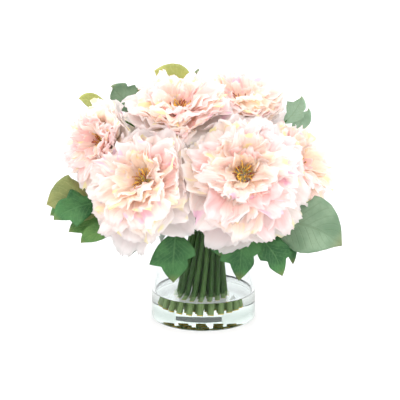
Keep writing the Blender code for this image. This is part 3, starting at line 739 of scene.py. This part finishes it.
def stem_tree(material):
    """Round bars swept along the edges of a mesh, as thick as each point says."""
    shape = Shape("stems along their routes", {"Sides": 14, "Step": STALK_STEP, "Ridges": 0.03})
    put, given = shape.put, shape.given
    smooth = put("CurveSplineType", put("MeshToCurve", given()), spline_type="CATMULL_ROM")
    fine = put("ResampleCurve", smooth, Length=given("Step"), mode="LENGTH")
    ring = put("CurvePrimitiveCircle", Resolution=given("Sides"), Radius=1.0)
    swell = 1 + given("Ridges") * (put("InputIndex") * (4 * math.pi / 3)).sin()
    spot = put("ShaderNodeVectorMath", put("InputPosition"), Scale=swell, operation="SCALE")
    ridged = put("SetPosition", ring, Position=spot)
    bars = put("CurveToMesh", fine, ridged, Scale=shape.read("thickness"), Fill_Caps=True)
    return shape.end(put("RealizeInstances", bars), material)


def routes_mesh(routes):
    """Routes as chains of edges; each route is (points, thicknesses, tone)."""
    points, edges, thickness, tones = [], [], [], []
    for route, radii, tone in routes:
        first = len(points)
        points += [tuple(p) for p in route]
        edges += [(first + i, first + i + 1) for i in range(len(route) - 1)]
        thickness += list(radii)
        tones += [tone] * len(route)
    mesh = bpy.data.meshes.new("routes")
    mesh.from_pydata(points, edges, [])
    mark(mesh, "thickness", thickness)
    mark(mesh, "tone", tones)
    return mesh


# Blooms


def bloom_axes(bloom):
    """Three directions: where a petal at azimuth 0, the lowest, points, the side, and the axis."""
    axis = unit(bloom.axis)
    down = Vector((0, 0, -1))
    out = (down - axis * down.dot(axis)).normalized()
    return out, axis.cross(out), axis


def calyx_top(bloom):
    scale = bloom.radius * MM / FULL_SIZE
    return as_metres(bloom.centre) - unit(bloom.axis) * CENTRE_ABOVE_CALYX * scale


def to_world(points, bloom):
    """Moves points from a bloom's own frame, with its calyx at the origin, to their place."""
    scale = bloom.radius * MM / FULL_SIZE
    turn = np.array([axis[:] for axis in bloom_axes(bloom)])
    return points * scale @ turn + np.array(calyx_top(bloom))


def pressed(points, name):
    """Petals give way where two blooms press on each other; the earlier in ON_TOP lies over the later.

    Two blooms meet at a tilted, waved wall: petals near it spread towards it, and none passes it.
    """
    bloom = BLOOMS[name]
    centre = np.array(as_metres(bloom.centre))
    for other_name, other in BLOOMS.items():
        apart = as_metres(other.centre) - as_metres(bloom.centre)
        distance = apart.length
        mine = bloom.radius * MM
        theirs = other.radius * MM
        if other is bloom or distance > mine + theirs + PRESS_NEAR:
            continue
        towards = apart / distance
        wall = (distance**2 + mine**2 - theirs**2) / (2 * distance)
        facing = unit(bloom.axis) + unit(other.axis)
        facing = (facing - towards * facing.dot(towards)).normalized()
        over = 1 if ON_TOP.index(name) < ON_TOP.index(other_name) else -1
        normal = np.array((towards - facing * LAP * over).normalized())
        from_wall = points - centre - np.array(towards) * wall
        before = from_wall @ normal + PRESS_GAP
        ahead = from_wall @ np.array(facing)
        aside = from_wall @ np.array(towards.cross(facing)) * over
        wave = np.sin(aside / PRESS_WAVE_PITCH + 2.2 * np.sin(ahead / PRESS_WAVE_BEND))
        past = before + PRESS_SPREAD * np.maximum(before + PRESS_REACH, 0)
        past = past + over * PRESS_WAVE * wave * np.clip(ahead / PRESS_WAVE_FADE + 0.5, 0, 1)
        held = -PRESS_DEPTH * np.exp(-(past + PRESS_DEPTH) / PRESS_DEPTH)
        held = np.where(past > -PRESS_DEPTH, held, past)
        points = points + (held - before)[:, None] * normal
    return points


def petal_roots(bloom, layers):
    """A point for each petal of some layers, with the numbers that shape it, drawn from a seed."""
    rows = []
    out, side, _ = bloom_axes(bloom)
    for layer in layers:
        wild = layer.number / LAST_LAYER
        start = np.random.default_rng([bloom.seed, layer.number]).uniform(0, 2 * math.pi)
        for index in range(layer.count):
            draw = np.random.default_rng([bloom.seed, layer.number, index]).uniform(-1, 1, 16)
            azimuth = start + 2 * math.pi / layer.count * (index + layer.scatter * draw[0])
            heading = out * math.cos(azimuth) + side * math.sin(azimuth)
            sag = layer.droop * max(0.0, -heading.z)
            steep = 1 if index % 2 else -1  # every second petal stands steeper
            lean = 0.6 * layer.jitter * draw[3] - 0.5 * sag
            hang = 1 - HANG * heading.z
            rows.append({
                "azimuth": azimuth,
                "root_out": layer.root_out * MM,
                "root_up": (layer.root_up + 1.6 * steep * (1 - wild)) * MM,
                "length": layer.length * (1 + (0.06 + 0.08 * wild) * draw[1]) * hang * MM,
                "half": layer.width / 2 * (1 + (0.09 + 0.12 * wild) * draw[2]) * MM,
                "rise_root": math.radians(layer.rise_root + 5 * steep + lean),
                "rise_tip": math.radians(layer.rise_tip + 7 * steep + layer.jitter * draw[4] - sag),
                "cup": layer.cup * (1 + (0.3 + wild) * draw[5]),
                "roll": math.radians(layer.jitter * 1.3 * draw[6]),
                "phase": math.pi * draw[7],
                "ruffle": layer.ruffle * MM * math.sqrt(layer.width / 50),
                "tip_round": layer.tip_round * (1 + 0.4 * draw[8]),
                "teeth": layer.teeth * (1 + 0.3 * draw[9]),
                "curl": layer.curl + (0.05 + 0.10 * wild) * draw[10],
                "notch": 0.06 * (1 + draw[11]),
                "notch_at": 0.4 * draw[12],
                "tone": 0.5 + 0.5 * draw[13],
                "layer": layer.number,
            })
    mesh = bpy.data.meshes.new("petal roots")
    mesh.vertices.add(len(rows))
    for label in rows[0]:
        mark(mesh, label, [row[label] for row in rows])
    return mesh


def petal_tree(material):
    """A petal for each point: a flat grid bent, cupped, ruffled and toothed by the point's numbers."""
    shape = Shape("petals round a core", {
        "Cells Along": 12,
        "Cells Across": 16,
        "Crumple": 2.2 * MM,
        "Pleat": 0.6 * MM,
        "Crumple Scale": 95.0,
    })
    put, given, read = shape.put, shape.given, shape.read
    grid = put("MeshGrid", 2.0, 1.0, given("Cells Across") + 1, given("Cells Along") + 1)
    real = put("RealizeInstances", put("InstanceOnPoints", given(), Instance=grid))
    flat = shape.store(real, "along", shape.split(put("InputPosition"), 1) + 0.5)
    flat = shape.store(flat, "across", shape.split(put("InputPosition"), 0))

    azimuth, length, half, phase = map(read, ("azimuth", "length", "half", "phase"))
    rise_root, rise_tip, ruffle = map(read, ("rise_root", "rise_tip", "ruffle"))
    roll, cup, curl, tone = map(read, ("roll", "cup", "curl", "tone"))
    u, v = map(read, ("along", "across"))
    reach = v.size()

    ragged = (v * 5.1 + phase).sin() * 0.60 + (v * 11.3 + phase * 1.7).sin() * 0.25
    ragged = ragged + (v * 23 + phase * 2.3).sin() * 0.12
    fringe = (half / FRINGE_PITCH * v + phase * 3.1).sin() * FRINGE_DEPTH / length * u**8
    away = (v - read("notch_at")) / 0.12
    notch = read("notch") * (-(away * away)).exp() * u**6
    edge = 1 - read("tip_round") * reach**2.6 + read("teeth") * ragged * u**3 - notch + fringe
    run = u * edge
    bend = rise_tip - rise_root + 0.001
    angle = rise_root + bend * run
    forward = length * (angle.sin() - rise_root.sin()) / bend
    up = length * (rise_root.cos() - angle.cos()) / bend

    width = half * (0.12 + 0.88 * (((u / 0.72).at_most(1.0) * (math.pi / 2)).sin() ** 1.1))
    late = ((u - 0.72) / 0.28).at_least(0.0)
    a = v * width * (1 - 0.10 * late * late)
    lift = cup * a * a / half * (1.25 - 0.5 * u) + curl * length * u**4
    wave = 0.8 * (v * (math.pi * 1.6) + phase).sin()
    wave = wave + 0.45 * (v * (math.pi * 3.4) + phase * 1.3 + u * 1.5).sin()
    lift = lift + ruffle * u**2.2 * wave
    lift = lift + 0.7 * ruffle * reach**3 * (u * (math.pi * 2.6) + phase * 2.1).sin() * u
    where = shape.combined(a, run * length, tone * 0.9)
    noise = put("ShaderNodeTexNoise", where, Scale=given("Crumple Scale"), Detail=2.0) - 0.5
    wild = (read("layer") / 5).at_most(1.0)
    lift = lift + noise * given("Crumple") * (1.0 + 2.4 * wild) * u.ramp(0.1, 0.8)
    pleats = (v * (math.pi * 5.2) + phase * 2.9 + u).sin() * given("Pleat")
    lift = lift + pleats * (0.4 + wild) * u.ramp(0.15, 0.7)

    x = read("root_out") + forward - angle.sin() * lift
    z = read("root_up") + up + angle.cos() * lift + a * roll.sin()
    y = a * roll.cos() + ruffle * 0.35 * u**2.2 * (u * 7 + phase).sin()
    turned_x = x * azimuth.cos() - y * azimuth.sin()
    turned_y = x * azimuth.sin() + y * azimuth.cos()
    spot = shape.combined(turned_x, turned_y, z)
    return shape.end(put("SetPosition", flat, Position=spot), material)


def join(name, pieces):
    """One object from several, in the order given."""
    bpy.ops.object.select_all(action="DESELECT")
    for piece in pieces:
        piece.select_set(True)
    bpy.context.view_layer.objects.active = pieces[0]
    bpy.ops.object.join()
    pieces[0].name = name
    return pieces[0]


def thicken(piece, thickness, underside=None):
    """Gives a blade its thickness, and its back another cloth where one is given."""
    solid = piece.modifiers.new("cloth thickness", "SOLIDIFY")
    solid.thickness = thickness
    solid.offset = 0
    if underside:
        piece.data.materials.append(underside)
        solid.material_offset = 1
    apply_modifiers(piece)


def build_core(material):
    """The small receptacle that the petals are rooted in."""
    bm = bmesh.new()
    low, high = CORE_RADII
    bmesh.ops.create_cone(bm, cap_ends=True, segments=20, radius1=low, radius2=high, depth=CORE_HEIGHT)
    bm.transform(Matrix.Translation((0, 0, CORE_HEIGHT / 2 + GAP)))
    mesh = mesh_of("core", bm)
    for label in ("along", "across", "tone", "layer"):
        mark(mesh, label, np.zeros(len(mesh.vertices)))
    mesh.materials.append(material)
    return linked("core", mesh)


def build_bloom(name, bloom, tree, cloth, underside):
    fans = []
    for cells in sorted({layer.cells for layer in LAYERS}):
        roots = petal_roots(bloom, [layer for layer in LAYERS if layer.cells == cells])
        fans.append(grown("petals", roots, tree, {"Cells Along": cells[0], "Cells Across": cells[1]}))
    piece = join("bloom_" + name, fans)
    set_coordinates(piece.data, pressed(to_world(coordinates(piece.data), bloom), name))
    thicken(piece, PETAL_CLOTH, underside)
    core = build_core(cloth)
    set_coordinates(core.data, to_world(coordinates(core.data), bloom))
    return join("bloom_" + name, [piece, core])


def stamen_tree(material):
    """A tuft: curled threads with a knob each, on a spiral of points."""
    shape = Shape("tuft of stamens", {
        "Threads": 48,
        "Tuft Radius": 5 * MM,
        "Thread Length": 18 * MM,
        "Thread Radius": 0.48 * MM,
        "Spread": 1.0,
        "Seed": 1,
    })
    put, given, combined = shape.put, shape.given, shape.combined
    length, radius = given("Thread Length"), given("Thread Radius")
    line = put("CurvePrimitiveLine", End=combined(0.0, 0.0, length))
    fine = put("ResampleCurve", line, Count=7, mode="COUNT")
    share = shape.split(put("InputPosition"), 2) / length
    hook = share**2.5 * length * 0.35
    sway = (share * 5.5).sin() * length * 0.07
    kept = shape.store(fine, "along", share * 0.85)
    curled = put("SetPosition", kept, Offset=combined(hook, sway, hook * -0.35))
    ring = put("CurvePrimitiveCircle", Resolution=5, Radius=radius)
    thread = put("CurveToMesh", curled, ring, Fill_Caps=True)
    knob = put(
        "Transform",
        put("MeshIcoSphere", radius * 2.1, 1),
        Translation=combined(length * 0.36, length * -0.05, length * 0.88),
        Rotation=(0.0, 0.9, 0.0),
        Scale=(0.8, 0.8, 1.7),
    )
    tipped = add(shape.tree, "GeometryNodeJoinGeometry", thread)
    feed(shape.tree, tipped.inputs[0], shape.store(knob, "along", 1.0))

    number = put("InputIndex")
    fraction = ((number + 0.5) / given("Threads")) ** 0.5
    turn = number * GOLDEN_TURN
    out = fraction * given("Tuft Radius")
    points = put("Points", given("Threads"))
    placed = put("SetPosition", points, Position=combined(out * turn.cos(), out * turn.sin(), 0.0))

    def chance(low, high):
        """A thread's random number, drawn from the tree's seed."""
        node = add(shape.tree, "FunctionNodeRandomValue", data_type="FLOAT")
        slots = [slot for slot in node.inputs if slot.enabled]
        for slot, value in zip(slots, (low, high, number, given("Seed"))):
            feed(shape.tree, slot, value)
        return Term(shape.tree, node.outputs[1])

    def rotation(tilt, spin):
        return put("FunctionNodeEulerToRotation", combined(0.0, tilt, spin))

    lean = rotation(fraction * given("Spread") + chance(-0.12, 0.18), turn)
    spin = rotation(0.0, chance(-1.0, 1.0) * 3.1)
    size = chance(0.62, 1.0)
    threads = put(
        "InstanceOnPoints",
        shape.store(placed, "tone", chance(0.0, 97.0).part()),
        Instance=tipped.outputs[0],
        Rotation=put("FunctionNodeRotateRotation", lean, spin, rotation_space="LOCAL"),
        Scale=combined(size, size, size),
    )
    return shape.end(put("RealizeInstances", threads), material)


def build_stamens(name, bloom, tree):
    piece = grown("tuft_" + name, bpy.data.meshes.new("tuft"), tree, {"Seed": bloom.seed})
    points = coordinates(piece.data) + np.array((0, 0, CORE_HEIGHT + GAP))
    set_coordinates(piece.data, to_world(points, bloom))
    return piece


def build_flower_stem(name, bloom, place, tree, material):
    """The stem widens into the calyx, which carries the sepals."""
    out, side, axis = bloom_axes(bloom)
    top = calyx_top(bloom)
    neck_end = top - axis * CALYX_HEIGHT
    route = stem_route(place, neck_end, axis, pull=0.75)
    radii = [bundle_radius(point.z) for point in route]
    route += [neck_end + axis * CALYX_HEIGHT * rise for rise, _ in CALYX_SWELL]
    radii += [CALYX_RADIUS * share for _, share in CALYX_SWELL]
    pieces = [grown("stem", routes_mesh([(route, radii, STEM_TONE)]), tree, {"Step": STEM_STEP})]
    for i in range(SEPALS):
        angle = 2 * math.pi * i / SEPALS
        heading = out * math.cos(angle) + side * math.sin(angle)
        across = axis.cross(heading)

        def place_sepal(u, v, heading=heading, across=across):
            width = SEPAL_HALF_WIDTH * math.sin(math.pi * (0.25 + 0.74 * u))
            rise = SEPAL_CUP * v * v - SEPAL_DROOP * u * u - SEPAL_SINK
            reach = SEPAL_ROOT + SEPAL_LENGTH * u
            return top + heading * reach * MM + across * v * width + axis * rise

        pieces.append(blade(place_sepal, SEPAL_CELLS, material, SEPAL_TONE))
    return join("flower_stem_" + name, pieces)


# Leaves


def outer_planes(points):
    """Normals and distances of the faces of the tight convex skin round some points."""
    bm = bmesh.new()
    for point in points:
        bm.verts.new(point)
    skin = bmesh.ops.convex_hull(bm, input=bm.verts, use_existing_faces=False)
    faces = [item for item in skin["geom"] if isinstance(item, bmesh.types.BMFace)]
    bm.normal_update()
    middle = np.mean(points, axis=0)
    normals = np.array([face.normal[:] for face in faces])
    spots = np.array([face.verts[0].co[:] for face in faces])
    normals *= np.sign(np.sum(normals * (spots - middle), axis=1))[:, None]
    bm.free()
    return normals, np.sum(normals * spots, axis=1)


def bent_clear(point, skins, clearance=LEAF_CLEARANCE):
    """Moves a point out of the space that the blooms' petals fill, the shortest way."""
    spot = np.array(point)
    for _ in range(CLEARING_ROUNDS):
        before = spot
        for normals, distances in skins:
            out = normals @ spot - distances
            nearest = int(np.argmax(out))
            if out[nearest] < clearance:
                spot = spot + normals[nearest] * (clearance - out[nearest])
        if spot is before:
            break
    return Vector(spot)


def blade(place, cells, material, tone):
    """A thin closed blade: a flat grid of cells along and across, moved to place(u, v) and thickened."""
    bm = bmesh.new()
    bmesh.ops.create_grid(bm, x_segments=cells[1], y_segments=cells[0], size=1.0)
    mesh = mesh_of("blade", bm)
    flat = coordinates(mesh)
    u = (flat[:, 1] + 1) / 2
    v = flat[:, 0]
    set_coordinates(mesh, [place(float(a), float(b)) for a, b in zip(u, v)])
    for label, values in (("along", u), ("across", v), ("tone", np.full(len(u), tone))):
        mark(mesh, label, values)
    mesh.shade_smooth()
    mesh.materials.append(material)
    piece = linked("blade", mesh)
    thicken(piece, LEAF_CLOTH)
    return piece


def leaf_place(leaf, skins):
    """Returns place(u, v) for one leaf, and the direction in which its stalk reaches it."""
    base, tip = as_metres(leaf.base), as_metres(leaf.tip)
    knee = (base + tip) / 2 + as_metres(leaf.arch) * 2
    face = unit(leaf.facing)
    stations, *halves = LEAF_OUTLINES[leaf.kind]

    def place(u, v):
        spot = base * (1 - u) ** 2 + knee * 2 * u * (1 - u) + tip * u * u
        along = ((knee - base) * (1 - u) + (tip - knee) * u).normalized()
        across = along.cross(face).normalized()
        up = across.cross(along)
        half = halves[0] if v * leaf.lobe_side < 0 else halves[-1]
        width = leaf.width / 2 * MM * float(np.interp(u, stations, half))
        fold = abs(v) * width * LEAF_FOLD
        ripple = LEAF_RIPPLE * abs(v) * math.sin(9 * u + 2.0 * v)
        return bent_clear(spot + across * v * width + up * (fold + ripple), skins)

    return place, (knee - base).normalized()


def build_spray(name, spray, place, skins, tree, materials):
    """A stem that forks into a stalk for each leaf, kept clear of the blooms."""
    fixed = len(BUNDLE_LEVELS)
    fork = fixed + 2
    routes, blades = [], []
    for number, leaf in enumerate(spray.leaves):
        surface, heading = leaf_place(leaf, skins)
        end = as_metres(leaf.base) + heading * PETIOLE_LAP * MM
        if number == 0:
            low = leaf.base[2] < RIM_ROUTE_BELOW
            route = stem_route(place, end, heading, pull=0.8, over_rim=low)
            route = route[:fixed] + [bent_clear(p, skins, STALK_CLEARANCE) for p in route[fixed:]]
            taper = np.linspace(STEM_RADIUS, PETIOLE_RADIUS, len(route) - fixed + 1)
            radii = [bundle_radius(z) for z in BUNDLE_LEVELS[:-1]] + list(taper)
            routes.append((route, radii, STEM_TONE))
        else:
            leave = unit(route[fork + 1] - route[fork - 1])
            stalk = arc(route[fork], leave, end, heading, pull=0.7, steps=3)
            stalk = [route[fork]] + [bent_clear(p, skins, STALK_CLEARANCE) for p in stalk]
            routes.append((stalk, [PETIOLE_RADIUS] * len(stalk), STEM_TONE))
        tone = (len(name) * 0.37 + number * 0.61) % 1
        colour = ODD_LEAVES.get((name, number), spray.colour)
        blades.append(blade(surface, LEAF_CELLS, materials[colour], tone))
    stem = grown("stalks", routes_mesh(routes), tree, {"Step": STALK_STEP})
    return join("leaves_" + name, [stem] + blades)


# Vase and resin


def lathe(name, profile, material):
    """A closed profile in X and Z, from axis to axis, turned round Z."""
    mesh = bpy.data.meshes.new(name)
    edges = [(i, i + 1) for i in range(len(profile) - 1)]
    mesh.from_pydata([(r, 0, z) for r, z in profile], edges, [])
    piece = linked(name, mesh)
    screw = piece.modifiers.new("turn", "SCREW")
    screw.steps = screw.render_steps = VASE_SIDES
    screw.use_merge_vertices = True
    screw.merge_threshold = WELD
    bpy.context.view_layer.update()
    apply_modifiers(piece)
    bm = bmesh.new()
    bm.from_mesh(piece.data)
    bmesh.ops.remove_doubles(bm, verts=bm.verts, dist=WELD)
    bmesh.ops.recalc_face_normals(bm, faces=bm.faces)
    bm.to_mesh(piece.data)
    bm.free()
    piece.data.shade_smooth()
    piece.data.materials.append(material)
    return piece


def mark_wetted(piece, inside):
    """Marks the faces where resin and glass are bonded, which light passes as if nothing were there."""
    spots = [face.center for face in piece.data.polygons]
    mark(piece.data, "wetted", [inside(math.hypot(spot.x, spot.y), spot.z) for spot in spots], "FACE")
    return piece


def eased(profile):
    """Adds a point close to both ends of each long straight, so that its shading stays flat."""
    points = [profile[0]]
    for (r0, z0), (r1, z1) in zip(profile, profile[1:]):
        length = math.hypot(r1 - r0, z1 - z0)
        share = CORNER_GUARD / length
        if length > 8 * CORNER_GUARD:
            points += [(r0 + (r1 - r0) * s, z0 + (z1 - z0) * s) for s in (share, 1 - share)]
        points.append((r1, z1))
    return points


def rounded(centre, radius, start, end, steps):
    """Points of a round corner in a profile; angles in degrees."""
    angles = [math.radians(start + (end - start) * i / steps) for i in range(steps + 1)]
    return [(centre[0] + radius * math.cos(a), centre[1] + radius * math.sin(a)) for a in angles]


def build_vase(material):
    inner = VASE_RADIUS - VASE_WALL
    level = RESIN_TOP + RESIN_CREEP
    profile = [(0, VASE_FLOOR), (inner - BOWL - BOWL_EASE, VASE_FLOOR)]
    profile += rounded((inner - BOWL, VASE_FLOOR + BOWL), BOWL, -90, 0, steps=6)
    profile += [(inner, level)]
    profile += rounded((inner + VASE_LIP, VASE_HEIGHT - VASE_LIP), VASE_LIP, 180, 90, steps=4)
    profile += rounded((VASE_RADIUS - VASE_LIP, VASE_HEIGHT - VASE_LIP), VASE_LIP, 90, 0, steps=4)
    profile += rounded((VASE_RADIUS - VASE_EDGE, VASE_EDGE), VASE_EDGE, 0, -90, steps=4)
    profile += [(VASE_RADIUS - VASE_SOLE, 0), (0, 0)]
    piece = lathe("vase_glass", eased(profile), material)
    return mark_wetted(piece, lambda r, z: r < inner + BOND and VASE_FLOOR - BOND < z < level)


def build_resin(material):
    """A disc with its edge drawn up a little along the glass."""
    wide = VASE_RADIUS - VASE_WALL + RESIN_LAP
    low = VASE_FLOOR - RESIN_LAP
    rise = ((7, 0), (3, 0.1), (1.2, 0.45), (0, 1))  # mm from the edge, share of the creep
    profile = [(0, RESIN_TOP)]
    profile += [(wide - inset * MM, RESIN_TOP + share * RESIN_CREEP) for inset, share in rise]
    profile += rounded((wide - BOWL, low + BOWL), BOWL, 0, -90, steps=6)
    profile += [(wide - BOWL - BOWL_EASE, low), (0, low)]
    piece = lathe("resin_disc", eased(profile), material)
    return mark_wetted(piece, lambda r, z: r > wide - BOND or z < RESIN_TOP - BOND)


# Stage


def build_stage():
    bm = bmesh.new()
    bmesh.ops.create_circle(bm, cap_ends=True, segments=96, radius=TABLE_RADIUS)
    bm.transform(Matrix.Translation((0, 0, -TABLE_GAP)))
    table = linked("table", mesh_of("table", bm))
    table.data.materials.append(table_top())


def look_at(obj, target):
    obj.rotation_mode = "QUATERNION"
    obj.rotation_quaternion = (target - obj.location).to_track_quat("-Z", "Y")


def build_camera():
    data = bpy.data.cameras.new("camera")
    data.lens = CAMERA_LENS
    data.sensor_width = CAMERA_SENSOR
    camera = linked("camera", data)
    back = Vector((0, -math.cos(CAMERA_RISE), math.sin(CAMERA_RISE)))
    camera.location = CAMERA_AIM + back * CAMERA_AWAY
    look_at(camera, CAMERA_AIM)
    bpy.context.scene.camera = camera


def build_light():
    for name, (place, size, energy) in LAMPS.items():
        data = bpy.data.lights.new(name, "AREA")
        data.size = size
        data.energy = energy
        lamp = linked(name, data)
        lamp.location = place
        look_at(lamp, CAMERA_AIM)
    world = bpy.data.worlds.new("studio")
    bpy.context.scene.world = world
    world.use_nodes = True
    nodes = Nodes(world.node_tree, "ShaderNode")
    height = nodes.split(nodes.put("TexCoord", output="Generated"), 2)
    ground, horizon, sky = WORLD_STRENGTHS
    strength = height.ramp(0.0, 0.5) * sky + height.ramp(-0.2, 0.0) * horizon + ground
    for slot, value in zip(world.node_tree.nodes["Background"].inputs, (WHITE, strength)):
        feed(world.node_tree, slot, value)
    bpy.context.scene.view_settings.view_transform = "Standard"


def finish_piece(piece, slot, *nodes):
    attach(piece, "root")
    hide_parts(*nodes)


def build_arrangement():
    nodes = frame["nodes"]

    cloth, underside = (petal_dye(name, *dye) for name, dye in PETAL_DYES.items())
    green = stem_plastic()
    leaves = {colour: leaf_cloth(colour) for colour in LEAF_PAINTS}
    petals = petal_tree(cloth)
    stems = stem_tree(green)
    tufts = stamen_tree(stamen_thread())

    places = bundle_places()
    skins = []
    for name, bloom in BLOOMS.items():
        heading = calyx_top(bloom) - Vector((*NECK_CENTRE, 0))
        place = take_place(places, bloom.ring, heading)
        finish_piece(build_flower_stem(name, bloom, place, stems, green), "stem_green", "stem_" + name)
        finish_piece(build_bloom(name, bloom, petals, cloth, underside), "blush_petal", "petals_" + name)
        finish_piece(build_stamens(name, bloom, tufts), "gold_stamen", "stamens_" + name)
        skins.append(outer_planes(coordinates(nodes["petals_" + name].data)))
    for name, spray in SPRAYS.items():
        heading = as_metres(spray.leaves[0].base) - Vector((*NECK_CENTRE, 0))
        place = take_place(places, spray.ring, heading)
        piece = build_spray(name, spray, place, skins, stems, leaves)
        finish_piece(piece, spray.colour, "leafy_stem_" + name)
    routes = []
    for number, place in enumerate(places, 1):
        levels = BUNDLE_LEVELS[:4] + (CUT_TOP - (number * 7 % 5) * CUT_STEP,)
        route = [bundle_point(*place, z) for z in levels]
        routes.append((route, [bundle_radius(z) for z in levels], number * 0.37 % 1))
    cut = grown("cut_stems", routes_mesh(routes), stems, {"Step": STALK_STEP})
    finish_piece(cut, "stem_green", *[f"cut_stem_{i:02d}" for i in range(1, len(places) + 1)])

    finish_piece(build_vase(clear_glass()), "glass", "vase")
    finish_piece(build_resin(clear_resin()), "clear_resin", "resin_water")
    binding = nodes["binding"].data
    binding.materials.clear()
    binding.materials.append(binding_tape())


build_camera()
build_light()
build_stage()
build_arrangement()
